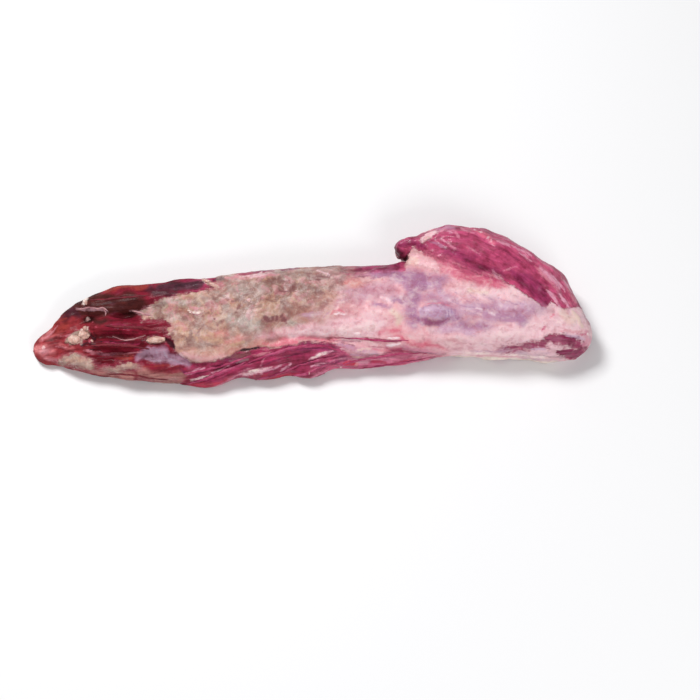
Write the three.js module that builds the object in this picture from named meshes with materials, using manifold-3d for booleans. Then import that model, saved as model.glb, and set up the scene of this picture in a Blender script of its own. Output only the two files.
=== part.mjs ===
// A raw whole beef tenderloin, lying on its flat side with the fat side up.
// It is one piece of meat: a long main muscle that tapers from the thick head to the thin tail,
// the stringy side strap along its near edge, and the wing muscle folded against the head.
// Every muscle is lofted from a few stations, the muscles are joined, and the board cuts them flat.
// Millimetres. +X runs from the tail to the head, +Y to the far side, +Z up from the board.

import * as THREE from "three";
import { LoftGeometry } from "three/addons/geometries/LoftGeometry.js";
import { SimplexNoise } from "three/addons/math/SimplexNoise.js";
import { mergeVertices } from "three/addons/utils/BufferGeometryUtils.js";
import Module from "manifold-3d";

// Driving dimensions of the whole cut.
const TAIL_X = -276;
const HEAD_X = 276;
const BOARD_SIZE = [800, 400, 80];

// How finely the muscles are faceted: the first section of a round tip is a small part of a
// step in, the path's direction is taken over a hundredth of it on each side, and vertices
// nearer than the last distance are the same one.
const SECTION_STEP = 8;
const TIP_SECTIONS = 4;
const FIRST_SECTION = 0.25;
const PATH_PROBE = 0.01;
const MERGE_DISTANCE = 1e-4;

// How full a muscle's cross-section is: 2 is an ellipse, more is squarer.
const FULLNESS = 2.2;

// The relief that every muscle has: long bundles of fibre, and broad soft lumps.
const BUNDLE_DEPTH = 1.1;
const BUNDLE_LENGTH = 46;
const BUNDLE_WIDTH = 13;
const LUMP_DEPTH = 1.6;
const LUMP_SIZE = 34;
const LUMP_LAYER = 50;
const NOISE_SEED = 20;

// The fat cover stands this much proud of the main muscle, and is this much lumpier.
const FAT_THICKNESS = 3;
const FAT_ROUGHNESS = 1.4;
const FAT_RAGGEDNESS = 5;
const FAT_EDGE_STEP = 7;

// The edge of the fat cover is torn by noise of this size.
const TEAR_SIZE = 9;
const TEAR_LAYER = 80;

const RAW_MEAT = 0xb56a72;

// A small repeatable random number source, so that each build gives the same relief.
function seededRandom(seed) {
  let state = seed;
  return {
    random() {
      state = (state * 1664525 + 1013904223) % 4294967296;
      return state / 4294967296;
    },
  };
}

const noise = new SimplexNoise(seededRandom(NOISE_SEED));

// Outward relief in mm at a point of the surface, drawn out along the fibres.
function relief(point) {
  const bundle = noise.noise3d(
    point.x / BUNDLE_LENGTH,
    point.y / BUNDLE_WIDTH,
    point.z / BUNDLE_WIDTH,
  );
  const lump = noise.noise3d(
    point.x / LUMP_SIZE + LUMP_LAYER,
    point.y / LUMP_SIZE,
    point.z / LUMP_SIZE,
  );
  return BUNDLE_DEPTH * bundle + LUMP_DEPTH * lump;
}

// One value along the stations, as a smooth curve through all of them.
function along(stations, key, t) {
  const last = stations.length - 1;
  const place = Math.min(Math.max(t, 0), 1) * last;
  const i = Math.min(Math.floor(place), last - 1);
  const f = place - i;
  const p0 = stations[Math.max(i - 1, 0)][key];
  const p1 = stations[i][key];
  const p2 = stations[i + 1][key];
  const p3 = stations[Math.min(i + 2, last)][key];
  const bend = 2 * p0 - 5 * p1 + 4 * p2 - p3;
  const twist = -p0 + 3 * p1 - 3 * p2 + p3;
  return 0.5 * (2 * p1 + (p2 - p0) * f + bend * f * f + twist * f * f * f);
}

// Where the sections of a muscle go, from 0 to 1: close together in the round tips.
function sectionPlaces(length, tip, step) {
  const places = [];
  for (let k = 0; k < TIP_SECTIONS; k++) {
    const angle = ((k + FIRST_SECTION) / TIP_SECTIONS) * (Math.PI / 2);
    places.push((tip * (1 - Math.cos(angle))) / length);
  }
  const plain = Math.max(2, Math.round((length - 2 * tip) / step));
  const middle = [];
  for (let k = 0; k <= plain; k++) {
    middle.push((tip + ((length - 2 * tip) * k) / plain) / length);
  }
  return [...places, ...middle, ...places.map((p) => 1 - p).reverse()];
}

// A muscle is lofted along its stations. Each station says where its middle is (x, y, z),
// and how far it reaches sideways (w) and upwards (h) from there. tip is the length of its
// round ends, square its fullness, rough scales its relief and grow makes it fatter all round.
function muscleGeometry(muscle) {
  const { stations, tip, columns, square = FULLNESS, step = SECTION_STEP } = muscle;
  const { rough = 1, grow = 0 } = muscle;
  const spine = new THREE.CatmullRomCurve3(
    stations.map((s) => new THREE.Vector3(s.x, s.y, s.z)),
  );
  const length = spine.getLength();
  const middle = (t) =>
    new THREE.Vector3(
      along(stations, "x", t),
      along(stations, "y", t),
      along(stations, "z", t),
    );
  const sections = sectionPlaces(length, tip, step).map((t) => {
    const centre = middle(t);
    const ahead = middle(Math.min(t + PATH_PROBE, 1)).sub(middle(Math.max(t - PATH_PROBE, 0)));
    const side = new THREE.Vector3(ahead.y, -ahead.x, 0).normalize().negate();
    const fromEnd = Math.min(t, 1 - t) * length;
    const round = Math.sqrt(1 - (1 - Math.min(1, fromEnd / tip)) ** 2);
    const width = (along(stations, "w", t) + grow) * round;
    const height = (along(stations, "h", t) + grow) * round;
    const ring = [];
    for (let k = 0; k < columns; k++) {
      const angle = (k / columns) * Math.PI * 2;
      const c = Math.cos(angle);
      const s = Math.sin(angle);
      const across = width * Math.sign(c) * Math.abs(c) ** (2 / square);
      const up = height * Math.sign(s) * Math.abs(s) ** (2 / square);
      const outward = side.clone().multiplyScalar(c).setZ(s);
      const point = centre.clone().addScaledVector(side, across);
      point.z += up;
      point.addScaledVector(outward, rough * round * relief(point));
      ring.push(point);
    }
    return ring;
  });
  return new LoftGeometry(sections, { capStart: true, capEnd: true });
}

// The long main muscle, from the tip of the tail into the head.
const MAIN_MUSCLE = {
  columns: 40,
  tip: 24,
  square: 2.3,
  stations: [
    { x: TAIL_X, y: -44, z: 6, w: 10, h: 9 },
    { x: -256, y: -34, z: 8, w: 19, h: 12 },
    { x: -224, y: -25, z: 10, w: 34, h: 15 },
    { x: -180, y: -20, z: 12, w: 43, h: 17 },
    { x: -132, y: -19, z: 15, w: 45, h: 22 },
    { x: -82, y: -8, z: 17, w: 42, h: 25 },
    { x: -22, y: 2, z: 18, w: 41, h: 27 },
    { x: 38, y: 4.5, z: 19, w: 41.5, h: 28 },
    { x: 98, y: 2, z: 20, w: 44.5, h: 29 },
    { x: 148, y: 3, z: 21, w: 46, h: 31 },
    { x: 198, y: -4, z: 21, w: 42, h: 32 },
    { x: 240, y: -21, z: 19, w: 28, h: 28 },
    { x: HEAD_X, y: -30, z: 14, w: 14, h: 17 },
  ],
};

// The smaller muscles and ridges that lie against the main one.
const SMALL_MUSCLES = {
  // A flat muscle along the far side of the tail.
  tailFar: {
    columns: 18,
    tip: 12,
    stations: [
      { x: -258, y: -23, z: 11, w: 8, h: 10 },
      { x: -240, y: -9, z: 14, w: 11, h: 12 },
      { x: -222, y: 0, z: 17, w: 14, h: 14 },
      { x: -192, y: 7, z: 19, w: 18, h: 18 },
      { x: -162, y: 9.5, z: 20, w: 17, h: 19 },
      { x: -122, y: 16.5, z: 20, w: 14, h: 20 },
      { x: -72, y: 25, z: 19, w: 12, h: 20 },
      { x: -12, y: 32, z: 18, w: 9, h: 18 },
    ],
  },
  // The two bare strands in the middle of the tail.
  tailMiddle: {
    columns: 12,
    tip: 14,
    stations: [
      { x: -232, y: -21, z: 20, w: 6, h: 7 },
      { x: -202, y: -19, z: 25, w: 9, h: 9 },
      { x: -172, y: -22, z: 28, w: 9, h: 8 },
      { x: -138, y: -28, z: 30, w: 6, h: 6 },
    ],
  },
  tailInner: {
    columns: 12,
    tip: 14,
    stations: [
      { x: -238, y: -38, z: 17, w: 6, h: 7 },
      { x: -208, y: -39, z: 21, w: 8, h: 9 },
      { x: -172, y: -42, z: 24, w: 8, h: 8 },
      { x: -142, y: -46, z: 24, w: 6, h: 7 },
    ],
  },
  // The strip along the near side of the tail.
  tailNear: {
    columns: 14,
    tip: 12,
    stations: [
      { x: -262, y: -43, z: 6, w: 6, h: 8 },
      { x: -242, y: -48.5, z: 8, w: 8, h: 12 },
      { x: -212, y: -54, z: 10, w: 10, h: 15 },
      { x: -172, y: -58, z: 12, w: 12, h: 17 },
      { x: -132, y: -60, z: 12, w: 12, h: 17 },
      { x: -92, y: -62, z: 10, w: 9, h: 13 },
    ],
  },
  // The low seam of fat that joins the side strap to the main muscle.
  strapSeam: {
    columns: 10,
    tip: 12,
    stations: [
      { x: -140, y: -56, z: 3, w: 12, h: 12 },
      { x: -90, y: -51, z: 3, w: 16, h: 15 },
      { x: -40, y: -47, z: 3, w: 16, h: 16 },
      { x: 20, y: -42, z: 3, w: 14, h: 15 },
      { x: 80, y: -40, z: 3, w: 12, h: 13 },
    ],
  },
  // The side strap's outer strand, which swells and narrows along the near edge.
  strapOuter: {
    columns: 14,
    tip: 12,
    stations: [
      { x: -146, y: -64, z: 6, w: 5, h: 8 },
      { x: -103, y: -67, z: 8, w: 10, h: 11 },
      { x: -77, y: -60, z: 10, w: 8, h: 12 },
      { x: -52, y: -59, z: 10, w: 10, h: 13 },
      { x: -27, y: -56, z: 10, w: 8, h: 12 },
      { x: -3, y: -57, z: 9, w: 11, h: 11 },
      { x: 23, y: -49, z: 10, w: 8, h: 12 },
      { x: 58, y: -48, z: 11, w: 9, h: 13 },
      { x: 88, y: -45, z: 12, w: 9, h: 14 },
      { x: 128, y: -37, z: 13, w: 8, h: 14 },
    ],
  },
  // The side strap's inner strand, against the main muscle.
  strapInner: {
    columns: 14,
    tip: 16,
    stations: [
      { x: -122, y: -56, z: 16, w: 8, h: 12 },
      { x: -87, y: -50, z: 18, w: 10, h: 14 },
      { x: -47, y: -42, z: 20, w: 12, h: 15 },
      { x: -12, y: -39, z: 21, w: 13, h: 16 },
      { x: 23, y: -41, z: 20, w: 10, h: 14 },
      { x: 58, y: -44, z: 17, w: 8, h: 12 },
      { x: 98, y: -42, z: 15, w: 7, h: 11 },
    ],
  },
  // Two cords of the side strap that cross it aslant.
  strapCordLeft: {
    columns: 10,
    tip: 24,
    stations: [
      { x: -88, y: -68, z: 13, w: 5, h: 6 },
      { x: -52, y: -56, z: 20, w: 5, h: 7 },
      { x: -12, y: -51, z: 21, w: 5, h: 7 },
      { x: 28, y: -49, z: 18, w: 5, h: 6 },
    ],
  },
  strapCordRight: {
    columns: 10,
    tip: 20,
    stations: [
      { x: -18, y: -63, z: 10, w: 5, h: 6 },
      { x: 13, y: -55, z: 15, w: 5, h: 7 },
      { x: 48, y: -51, z: 16, w: 5, h: 7 },
    ],
  },
  // The wing: a thick muscle folded against the far side of the head, with a blunt nose.
  wing: {
    columns: 26,
    tip: 18,
    stations: [
      { x: 87, y: 60, z: 20, w: 9, h: 20 },
      { x: 111, y: 62, z: 23, w: 16, h: 27 },
      { x: 141, y: 60, z: 25, w: 26, h: 33 },
      { x: 176, y: 50, z: 26, w: 27, h: 35 },
      { x: 206, y: 34, z: 25, w: 26, h: 34 },
      { x: 234, y: 15, z: 23, w: 24, h: 31 },
      { x: 256, y: -9, z: 18, w: 15, h: 24 },
      { x: 269, y: -26, z: 13, w: 8, h: 14 },
    ],
  },
  // The wing's rolled edge, which curls round its nose and runs down onto the head.
  wingRoll: {
    columns: 12,
    tip: 8,
    stations: [
      { x: 84, y: 57, z: 31, w: 8, h: 15 },
      { x: 101, y: 64, z: 41, w: 8, h: 11 },
      { x: 119, y: 54, z: 46, w: 8, h: 9 },
      { x: 138, y: 42, z: 48, w: 8, h: 8 },
      { x: 164, y: 25, z: 46, w: 8, h: 8 },
    ],
  },
  // The web of fat and skin that bridges from the head up to the wing.
  wingWeb: {
    columns: 12,
    tip: 12,
    stations: [
      { x: 94, y: 44, z: 30, w: 10, h: 12 },
      { x: 122, y: 38, z: 37, w: 13, h: 10 },
      { x: 160, y: 26, z: 41, w: 13, h: 10 },
      { x: 200, y: 9, z: 41, w: 11, h: 9 },
      { x: 238, y: -8, z: 36, w: 9, h: 9 },
    ],
  },
  // The oval swelling under the silverskin of the head.
  swelling: {
    columns: 14,
    tip: 16,
    step: 5,
    stations: [
      { x: 98, y: -13, z: 44, w: 11, h: 9 },
      { x: 121, y: -13, z: 46, w: 12, h: 10 },
      { x: 142, y: -9, z: 44, w: 11, h: 9 },
    ],
  },
  // The muscle that shows low on the near side of the head.
  headNear: {
    columns: 14,
    tip: 14,
    stations: [
      { x: 158, y: -31, z: 14, w: 7, h: 14 },
      { x: 198, y: -31, z: 16, w: 9, h: 18 },
      { x: 236, y: -34, z: 16, w: 14, h: 19 },
      { x: 268, y: -32, z: 13, w: 10, h: 15 },
    ],
  },
  // The block of fat at the head's blunt end.
  headEnd: {
    columns: 14,
    tip: 10,
    stations: [
      { x: 230, y: -12, z: 32, w: 9, h: 15 },
      { x: 251, y: -13, z: 31, w: 12, h: 16 },
      { x: 269, y: -18, z: 24, w: 8, h: 14 },
    ],
  },
};

// The outline of the fat cover seen from above, round from the tongue that reaches the tail.
// On the head it runs past the meat, so that the cover goes down the sides there.
const FAT_OUTLINE = [
  [-184, -12],
  [-162, -4],
  [-147, 5],
  [-127, 11],
  [-107, 19],
  [-82, 26],
  [-50, 32],
  [-12, 35],
  [23, 33],
  [58, 30],
  [88, 50],
  [290, 60],
  [290, -80],
  [117, -62],
  [92, -44],
  [38, -38],
  [-12, -34],
  [-50, -41],
  [-80, -50],
  [-107, -60],
  [-130, -55],
  [-140, -40],
  [-154, -33],
  [-172, -21],
];

// The prism over the fat cover's outline, with its edge torn by noise.
function fatPrism() {
  const corners = FAT_OUTLINE.map(([x, y]) => new THREE.Vector2(x, y));
  const torn = [];
  corners.forEach((corner, i) => {
    const next = corners[(i + 1) % corners.length];
    const pieces = Math.max(1, Math.round(corner.distanceTo(next) / FAT_EDGE_STEP));
    const out = next.clone().sub(corner).normalize().rotateAround(new THREE.Vector2(), Math.PI / 2);
    for (let k = 0; k < pieces; k++) {
      const point = corner.clone().lerp(next, k / pieces);
      const tear = noise.noise3d(point.x / TEAR_SIZE, point.y / TEAR_SIZE, TEAR_LAYER);
      torn.push(point.addScaledVector(out, FAT_RAGGEDNESS * tear));
    }
  });
  return new THREE.ExtrudeGeometry(new THREE.Shape(torn), {
    depth: BOARD_SIZE[2],
    bevelEnabled: false,
  });
}

// A three.js geometry as a solid: only its positions are kept, with shared vertices merged.
function solidOf(geometry) {
  const bare = new THREE.BufferGeometry();
  bare.setAttribute("position", geometry.getAttribute("position"));
  bare.setIndex(geometry.getIndex());
  const merged = mergeVertices(bare, MERGE_DISTANCE);
  return new wasm.Manifold(
    new wasm.Mesh({
      numProp: 3,
      vertProperties: merged.attributes.position.array,
      triVerts: new Uint32Array(merged.index.array),
    }),
  );
}

const wasm = await Module();
wasm.setup();

let meat = solidOf(muscleGeometry(MAIN_MUSCLE));
const cover = solidOf(
  muscleGeometry({ ...MAIN_MUSCLE, grow: FAT_THICKNESS, rough: FAT_ROUGHNESS }),
);
meat = meat.add(cover.intersect(solidOf(fatPrism())));
for (const muscle of Object.values(SMALL_MUSCLES)) {
  meat = meat.add(solidOf(muscleGeometry(muscle)));
}

// Meat has no air inside: only the outermost skin is kept, so that gaps between muscles close.
meat = meat.decompose().reduce((a, b) => (a.volume() > b.volume() ? a : b));

// The board presses the underside flat.
const board = new THREE.BoxGeometry(...BOARD_SIZE).translate(0, 0, -BOARD_SIZE[2] / 2);
meat = meat.subtract(solidOf(board));

const faces = meat.getMesh();
const meatGeometry = new THREE.BufferGeometry();
meatGeometry.setAttribute("position", new THREE.BufferAttribute(faces.vertProperties, 3));
meatGeometry.setIndex(new THREE.BufferAttribute(faces.triVerts, 1));

// The origin is on the board, under the middle of the meat's own box.
meatGeometry.computeBoundingBox();
const middleOfBox = meatGeometry.boundingBox.getCenter(new THREE.Vector3());
meatGeometry.translate(-middleOfBox.x, -middleOfBox.y, 0);
meatGeometry.computeVertexNormals();

const meatMesh = new THREE.Mesh(
  meatGeometry,
  new THREE.MeshStandardMaterial({ color: RAW_MEAT, roughness: 0.4, metalness: 0 }),
);
meatMesh.name = "tenderloin";

const tenderloin = new THREE.Group();
tenderloin.add(meatMesh);

export default tenderloin;
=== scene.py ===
import math

import bmesh
import bpy
import numpy as np
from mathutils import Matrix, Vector, noise
from mathutils.bvhtree import BVHTree


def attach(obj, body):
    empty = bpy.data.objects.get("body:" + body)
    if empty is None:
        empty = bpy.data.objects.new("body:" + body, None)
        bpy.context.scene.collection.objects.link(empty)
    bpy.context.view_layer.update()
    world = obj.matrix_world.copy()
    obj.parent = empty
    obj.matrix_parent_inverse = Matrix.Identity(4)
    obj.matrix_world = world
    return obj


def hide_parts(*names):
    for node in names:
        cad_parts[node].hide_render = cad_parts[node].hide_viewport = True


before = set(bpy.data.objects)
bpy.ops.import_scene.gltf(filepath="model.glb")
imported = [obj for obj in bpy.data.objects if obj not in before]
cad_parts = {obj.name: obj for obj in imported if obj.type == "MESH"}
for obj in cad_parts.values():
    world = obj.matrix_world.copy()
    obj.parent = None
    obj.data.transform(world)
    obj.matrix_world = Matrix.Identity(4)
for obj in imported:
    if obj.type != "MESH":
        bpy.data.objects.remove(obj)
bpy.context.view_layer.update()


# THE MEAT
# One whole raw beef tenderloin, cut from under the spine: dark lean muscle with a torn cover of
# fat and thin silverskin over it. It lies on its flat side, soft and wet. It is made from the
# part's own solid, remeshed finely, and then its tissues are laid out on it.

VOXEL = 0.0014                # finest detail of the meat's mesh, metres
EASE_ROUNDS = 14              # rounds of smoothing that take the solid's flat facets out
EASE_PACE = 0.55              # how far a round moves a vertex towards its neighbours
CREASE_ANGLE = 0.55           # neighbours that turn more than this, in radians, keep their crease
JOIN_ROUNDS = 40              # rounds that fill the creases of SMOOTH_JOINS
HOLLOW_ROUNDS = 24            # rounds of averaging that find the hollows
FAR_OUTSIDE = -30.0           # how far inside a stroke the points are that lie nowhere near it

# The tissues are laid out on a plan: a square sheet of 700 mm, seen from an eye above the near
# side, 1.65 m away. Places on it are millimetres from its top left corner.
PLAN_TILT = math.radians(70)
PLAN_DISTANCE = 1652.8
PLAN_MIDDLE = np.array([37.9, -39.2, 0.0])
PLAN_CENTRE = 350.0
PLAN_BACK = np.array([0.0, -math.cos(PLAN_TILT), math.sin(PLAN_TILT)])
PLAN_UP = np.array([0.0, math.sin(PLAN_TILT), math.cos(PLAN_TILT)])
PLAN_EYE = Vector((PLAN_MIDDLE + PLAN_BACK * PLAN_DISTANCE) / 1000)


def on_plan(points):
    """Where points of the meat, in metres, lie on the plan, in millimetres."""
    out = points * 1000 - PLAN_MIDDLE
    scale = PLAN_DISTANCE / (PLAN_DISTANCE - out @ PLAN_BACK)
    return PLAN_CENTRE + out[:, 0] * scale, PLAN_CENTRE - (out @ PLAN_UP) * scale


def wavy(points, size, depth=1.0, layer=0.0, stretch=(1, 1, 1)):
    """Smooth random heights at points in metres: waves of about this size (metres) and depth, each
    pattern on a layer of its own."""
    scaled = points / size / np.array(stretch) + layer
    return depth * np.array([noise.noise(Vector(p)) for p in scaled])


def from_line(x, y, start, end):
    """How far along a line each plan point lies, from 0 to 1, and how far away from it."""
    dx, dy = end[0] - start[0], end[1] - start[1]
    x, y = x - start[0], y - start[1]
    t = np.clip((x * dx + y * dy) / max(dx * dx + dy * dy, 1e-6), 0, 1)
    return t, np.hypot(x - t * dx, y - t * dy)


def within_strokes(strokes, x, y):
    """How many millimetres each plan point is inside the strokes; less than 0 is outside.
    A stroke is a run of (x, y, half width)."""
    best = np.full(x.shape, FAR_OUTSIDE)
    for stroke in strokes:
        for start, end in zip(stroke, stroke[1:] or stroke):
            t, away = from_line(x, y, start, end)
            best = np.maximum(best, start[2] + t * (end[2] - start[2]) - away)
    return best


def within_outline(outline, x, y):
    """How many millimetres each plan point is inside a closed outline."""
    near = np.full(x.shape, np.inf)
    odd = np.zeros(x.shape, bool)
    for (x0, y0), (x1, y1) in zip(outline, outline[1:] + outline[:1]):
        near = np.minimum(near, from_line(x, y, (x0, y0), (x1, y1))[1])
        crosses = (y0 > y) != (y1 > y)
        odd ^= crosses & (x < x0 + (y - y0) * (x1 - x0) / ((y1 - y0) or 1e-9))
    return np.where(odd, near, -near)


def share(inside, border, at_edge=0.5):
    """0 outside a shape and 1 inside it, over a border this wide, from how far inside points are."""
    return np.clip(inside / border + at_edge, 0, 1)


def eased(t):
    """Slows a change from 0 to 1 down at both ends."""
    return t * t * (3 - 2 * t)


# The torn cover of fat over the middle and the head.
FAT_COVER = [
    (139, 313), (149, 306), (156, 300), (168, 297), (191, 294), (205, 290), (214, 286), (220, 270),
    (260, 255), (330, 245), (390, 245), (402, 267), (407, 258), (413, 246), (431, 255), (445, 262),
    (456, 265), (466, 272), (481, 275), (495, 276), (508, 283), (523, 293), (538, 303), (545, 306),
    (552, 303), (563, 309), (578, 307), (600, 312), (620, 340), (600, 400), (452, 400), (446, 358),
    (430, 355), (408, 350), (390, 351), (372, 357), (356, 356), (344, 350), (335, 344), (318, 342),
    (299, 343), (280, 347), (259, 347), (250, 350), (237, 352), (226, 359), (207, 362), (192, 362),
    (180, 356), (175, 351), (174, 342), (170, 335), (167, 330), (170, 325), (163, 320), (150, 319),
    (143, 321),
]
# Fat left on the bare tail, at the upper edge and on the wing.
FAT_PATCHES = [
    [(71, 340, 4), (80, 337, 5.5), (86, 334, 4)],
    [(62, 361, 3), (74, 359, 6), (84, 363, 6), (92, 367, 3)],
    [(148, 339, 2.4), (155, 340, 3), (163, 341.5, 2)],
    [(104, 369, 1.5), (115, 369, 3), (130, 366, 3.4), (139, 367, 1.5)],
    [(136, 383, 1.5), (155, 384, 2), (178, 381, 1.2)], [(203, 279, 1), (208, 282, 1.6), (219, 287, 1.4)],
    [(423, 240, 2), (429, 236, 3.2), (436, 232, 2)],
]
# Where the lean shows through the cover: at the upper edge and at the blunt end.
BARE_SPOTS = [
    [(345, 270, 4), (356, 269, 7), (370, 266.5, 9), (385, 266, 10), (398, 266, 8)],
    [(498, 348.5, 0.8), (512, 347.5, 3.4), (530, 346, 4.4), (546, 343, 4)],
    [(543, 341, 3), (553, 338.5, 4.4), (565, 341, 6), (575, 344, 6), (583, 348, 4.4)],
    [(558, 352, 2), (568, 354, 5), (579, 353, 5)],
]
# Thin pale film on the side strap.
PALE_FILM = [
    [(240, 374, 2), (252, 372, 3), (266, 370, 2.5)],
    [(338, 346, 1.5), (352, 348, 3.5), (365, 351, 3.5), (376, 352, 3)], [(355, 360, 2), (366, 362, 2)],
    [(404, 347, 2), (422, 351, 3), (440, 352, 2)],
]
# Where the fat thins out slowly over the lean, rather than ends in an edge.
SOFT_BORDERS = [
    [(428, 252, 4), (445, 260, 7), (470, 271, 8), (500, 281, 6)],
    [(338, 348, 3), (356, 354, 6), (372, 356, 7), (410, 352, 9), (450, 355, 8)],
    [(500, 347, 6), (530, 346, 4), (560, 344, 4), (584, 346, 4)],
    [(334, 268, 5), (350, 272, 7), (372, 276, 5), (400, 274, 5)],
    [(60, 360, 6), (84, 363, 9), (110, 370, 4), (140, 367, 5)], [(136, 383, 4), (178, 381, 4)],
    [(139, 313, 0), (150, 306, 0), (165, 298, 0)], [(143, 321, 0), (160, 321, 0)],
]
# Fat that has dried and greyed: the tail's, and the cover up to the middle of the meat.
OLD_FAT = [
    (40, 300), (120, 290), (165, 285), (220, 262), (300, 255), (340, 255), (354, 270), (350, 292),
    (332, 306), (302, 317), (270, 330), (244, 341), (214, 350), (186, 352), (140, 375), (40, 375),
]
# Gaps between the strands of the tail: they sink in, and are painted nearly black as shade.
SHADED_HOLES = [[(91, 334, 1.2), (96, 338, 1.5)], [(166, 338, 1.2), (170, 342, 2.6), (174, 348, 1.4)]]

# What each tissue looks like, as RRGGBB; some entries are painted highlights, painted light and painted
# shade.
TISSUE = {
    "dried brown": "4A1C1A", "dried purple": "461A26", "dried orange": "903630", "old red": "943238",
    "old crimson": "7A182C", "dark strand": "560412", "rim purple": "4C2230", "near black": "26101A",
    "tip pink": "CB7A7C", "strip brown": "B47C76", "wine": "7E2450", "belly wine": "8A2E58",
    "crimson": "96294E", "bright crimson": "B22A48", "fresh red": "C0223E", "wing lean": "B04268",
    "wing dark": "94305A", "rosy lean": "C4587C", "rim magenta": "883052", "rim mauve": "986486",
    "nose dark": "641E36", "strip wine": "8A2852", "olive": "9A806E", "khaki": "8E6C62",
    "khaki brown": "7E5854", "beige": "AA7E72", "grey fat": "A6968E", "warm tan": "C49A80",
    "cold grey": "A0908A", "salmon": "D68A88", "rose": "D08894", "rosy beige": "CC9C8E",
    "hot pink": "D86A80", "pink fat": "E2AAB2", "pale pink": "E8C0C8", "cream": "E2C6B8",
    "white fat": "F6E2DA", "brown spot": "7C4A4E", "mauve": "A47C84", "mauve brown": "9A6A68",
    "web": "DCA8B0", "border salmon": "CE6C84", "border crimson": "C04C72", "skin": "AC7C9C",
    "skin bright": "CCA8C0", "skin dark": "9A6690", "skin blue": "B496B6", "crescent": "944474",
    "dusk pink": "C896A6", "fold": "946490", "streak": "DC9EB4", "streak core": "F2D4D4",
    "pink edge": "D4849C", "lilac": "B482A0", "seam": "66163C", "film": "A88A9E", "film bright": "A490A2",
    "glint": "F8E4E8", "bone cream": "E4D6C6", "thin fat": "C87A8C", "pale film": "D09CAC",
    "ridge light": "F6E4E0", "crease": "7A2A3C", "gap shade": "2A0912",
}

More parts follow.
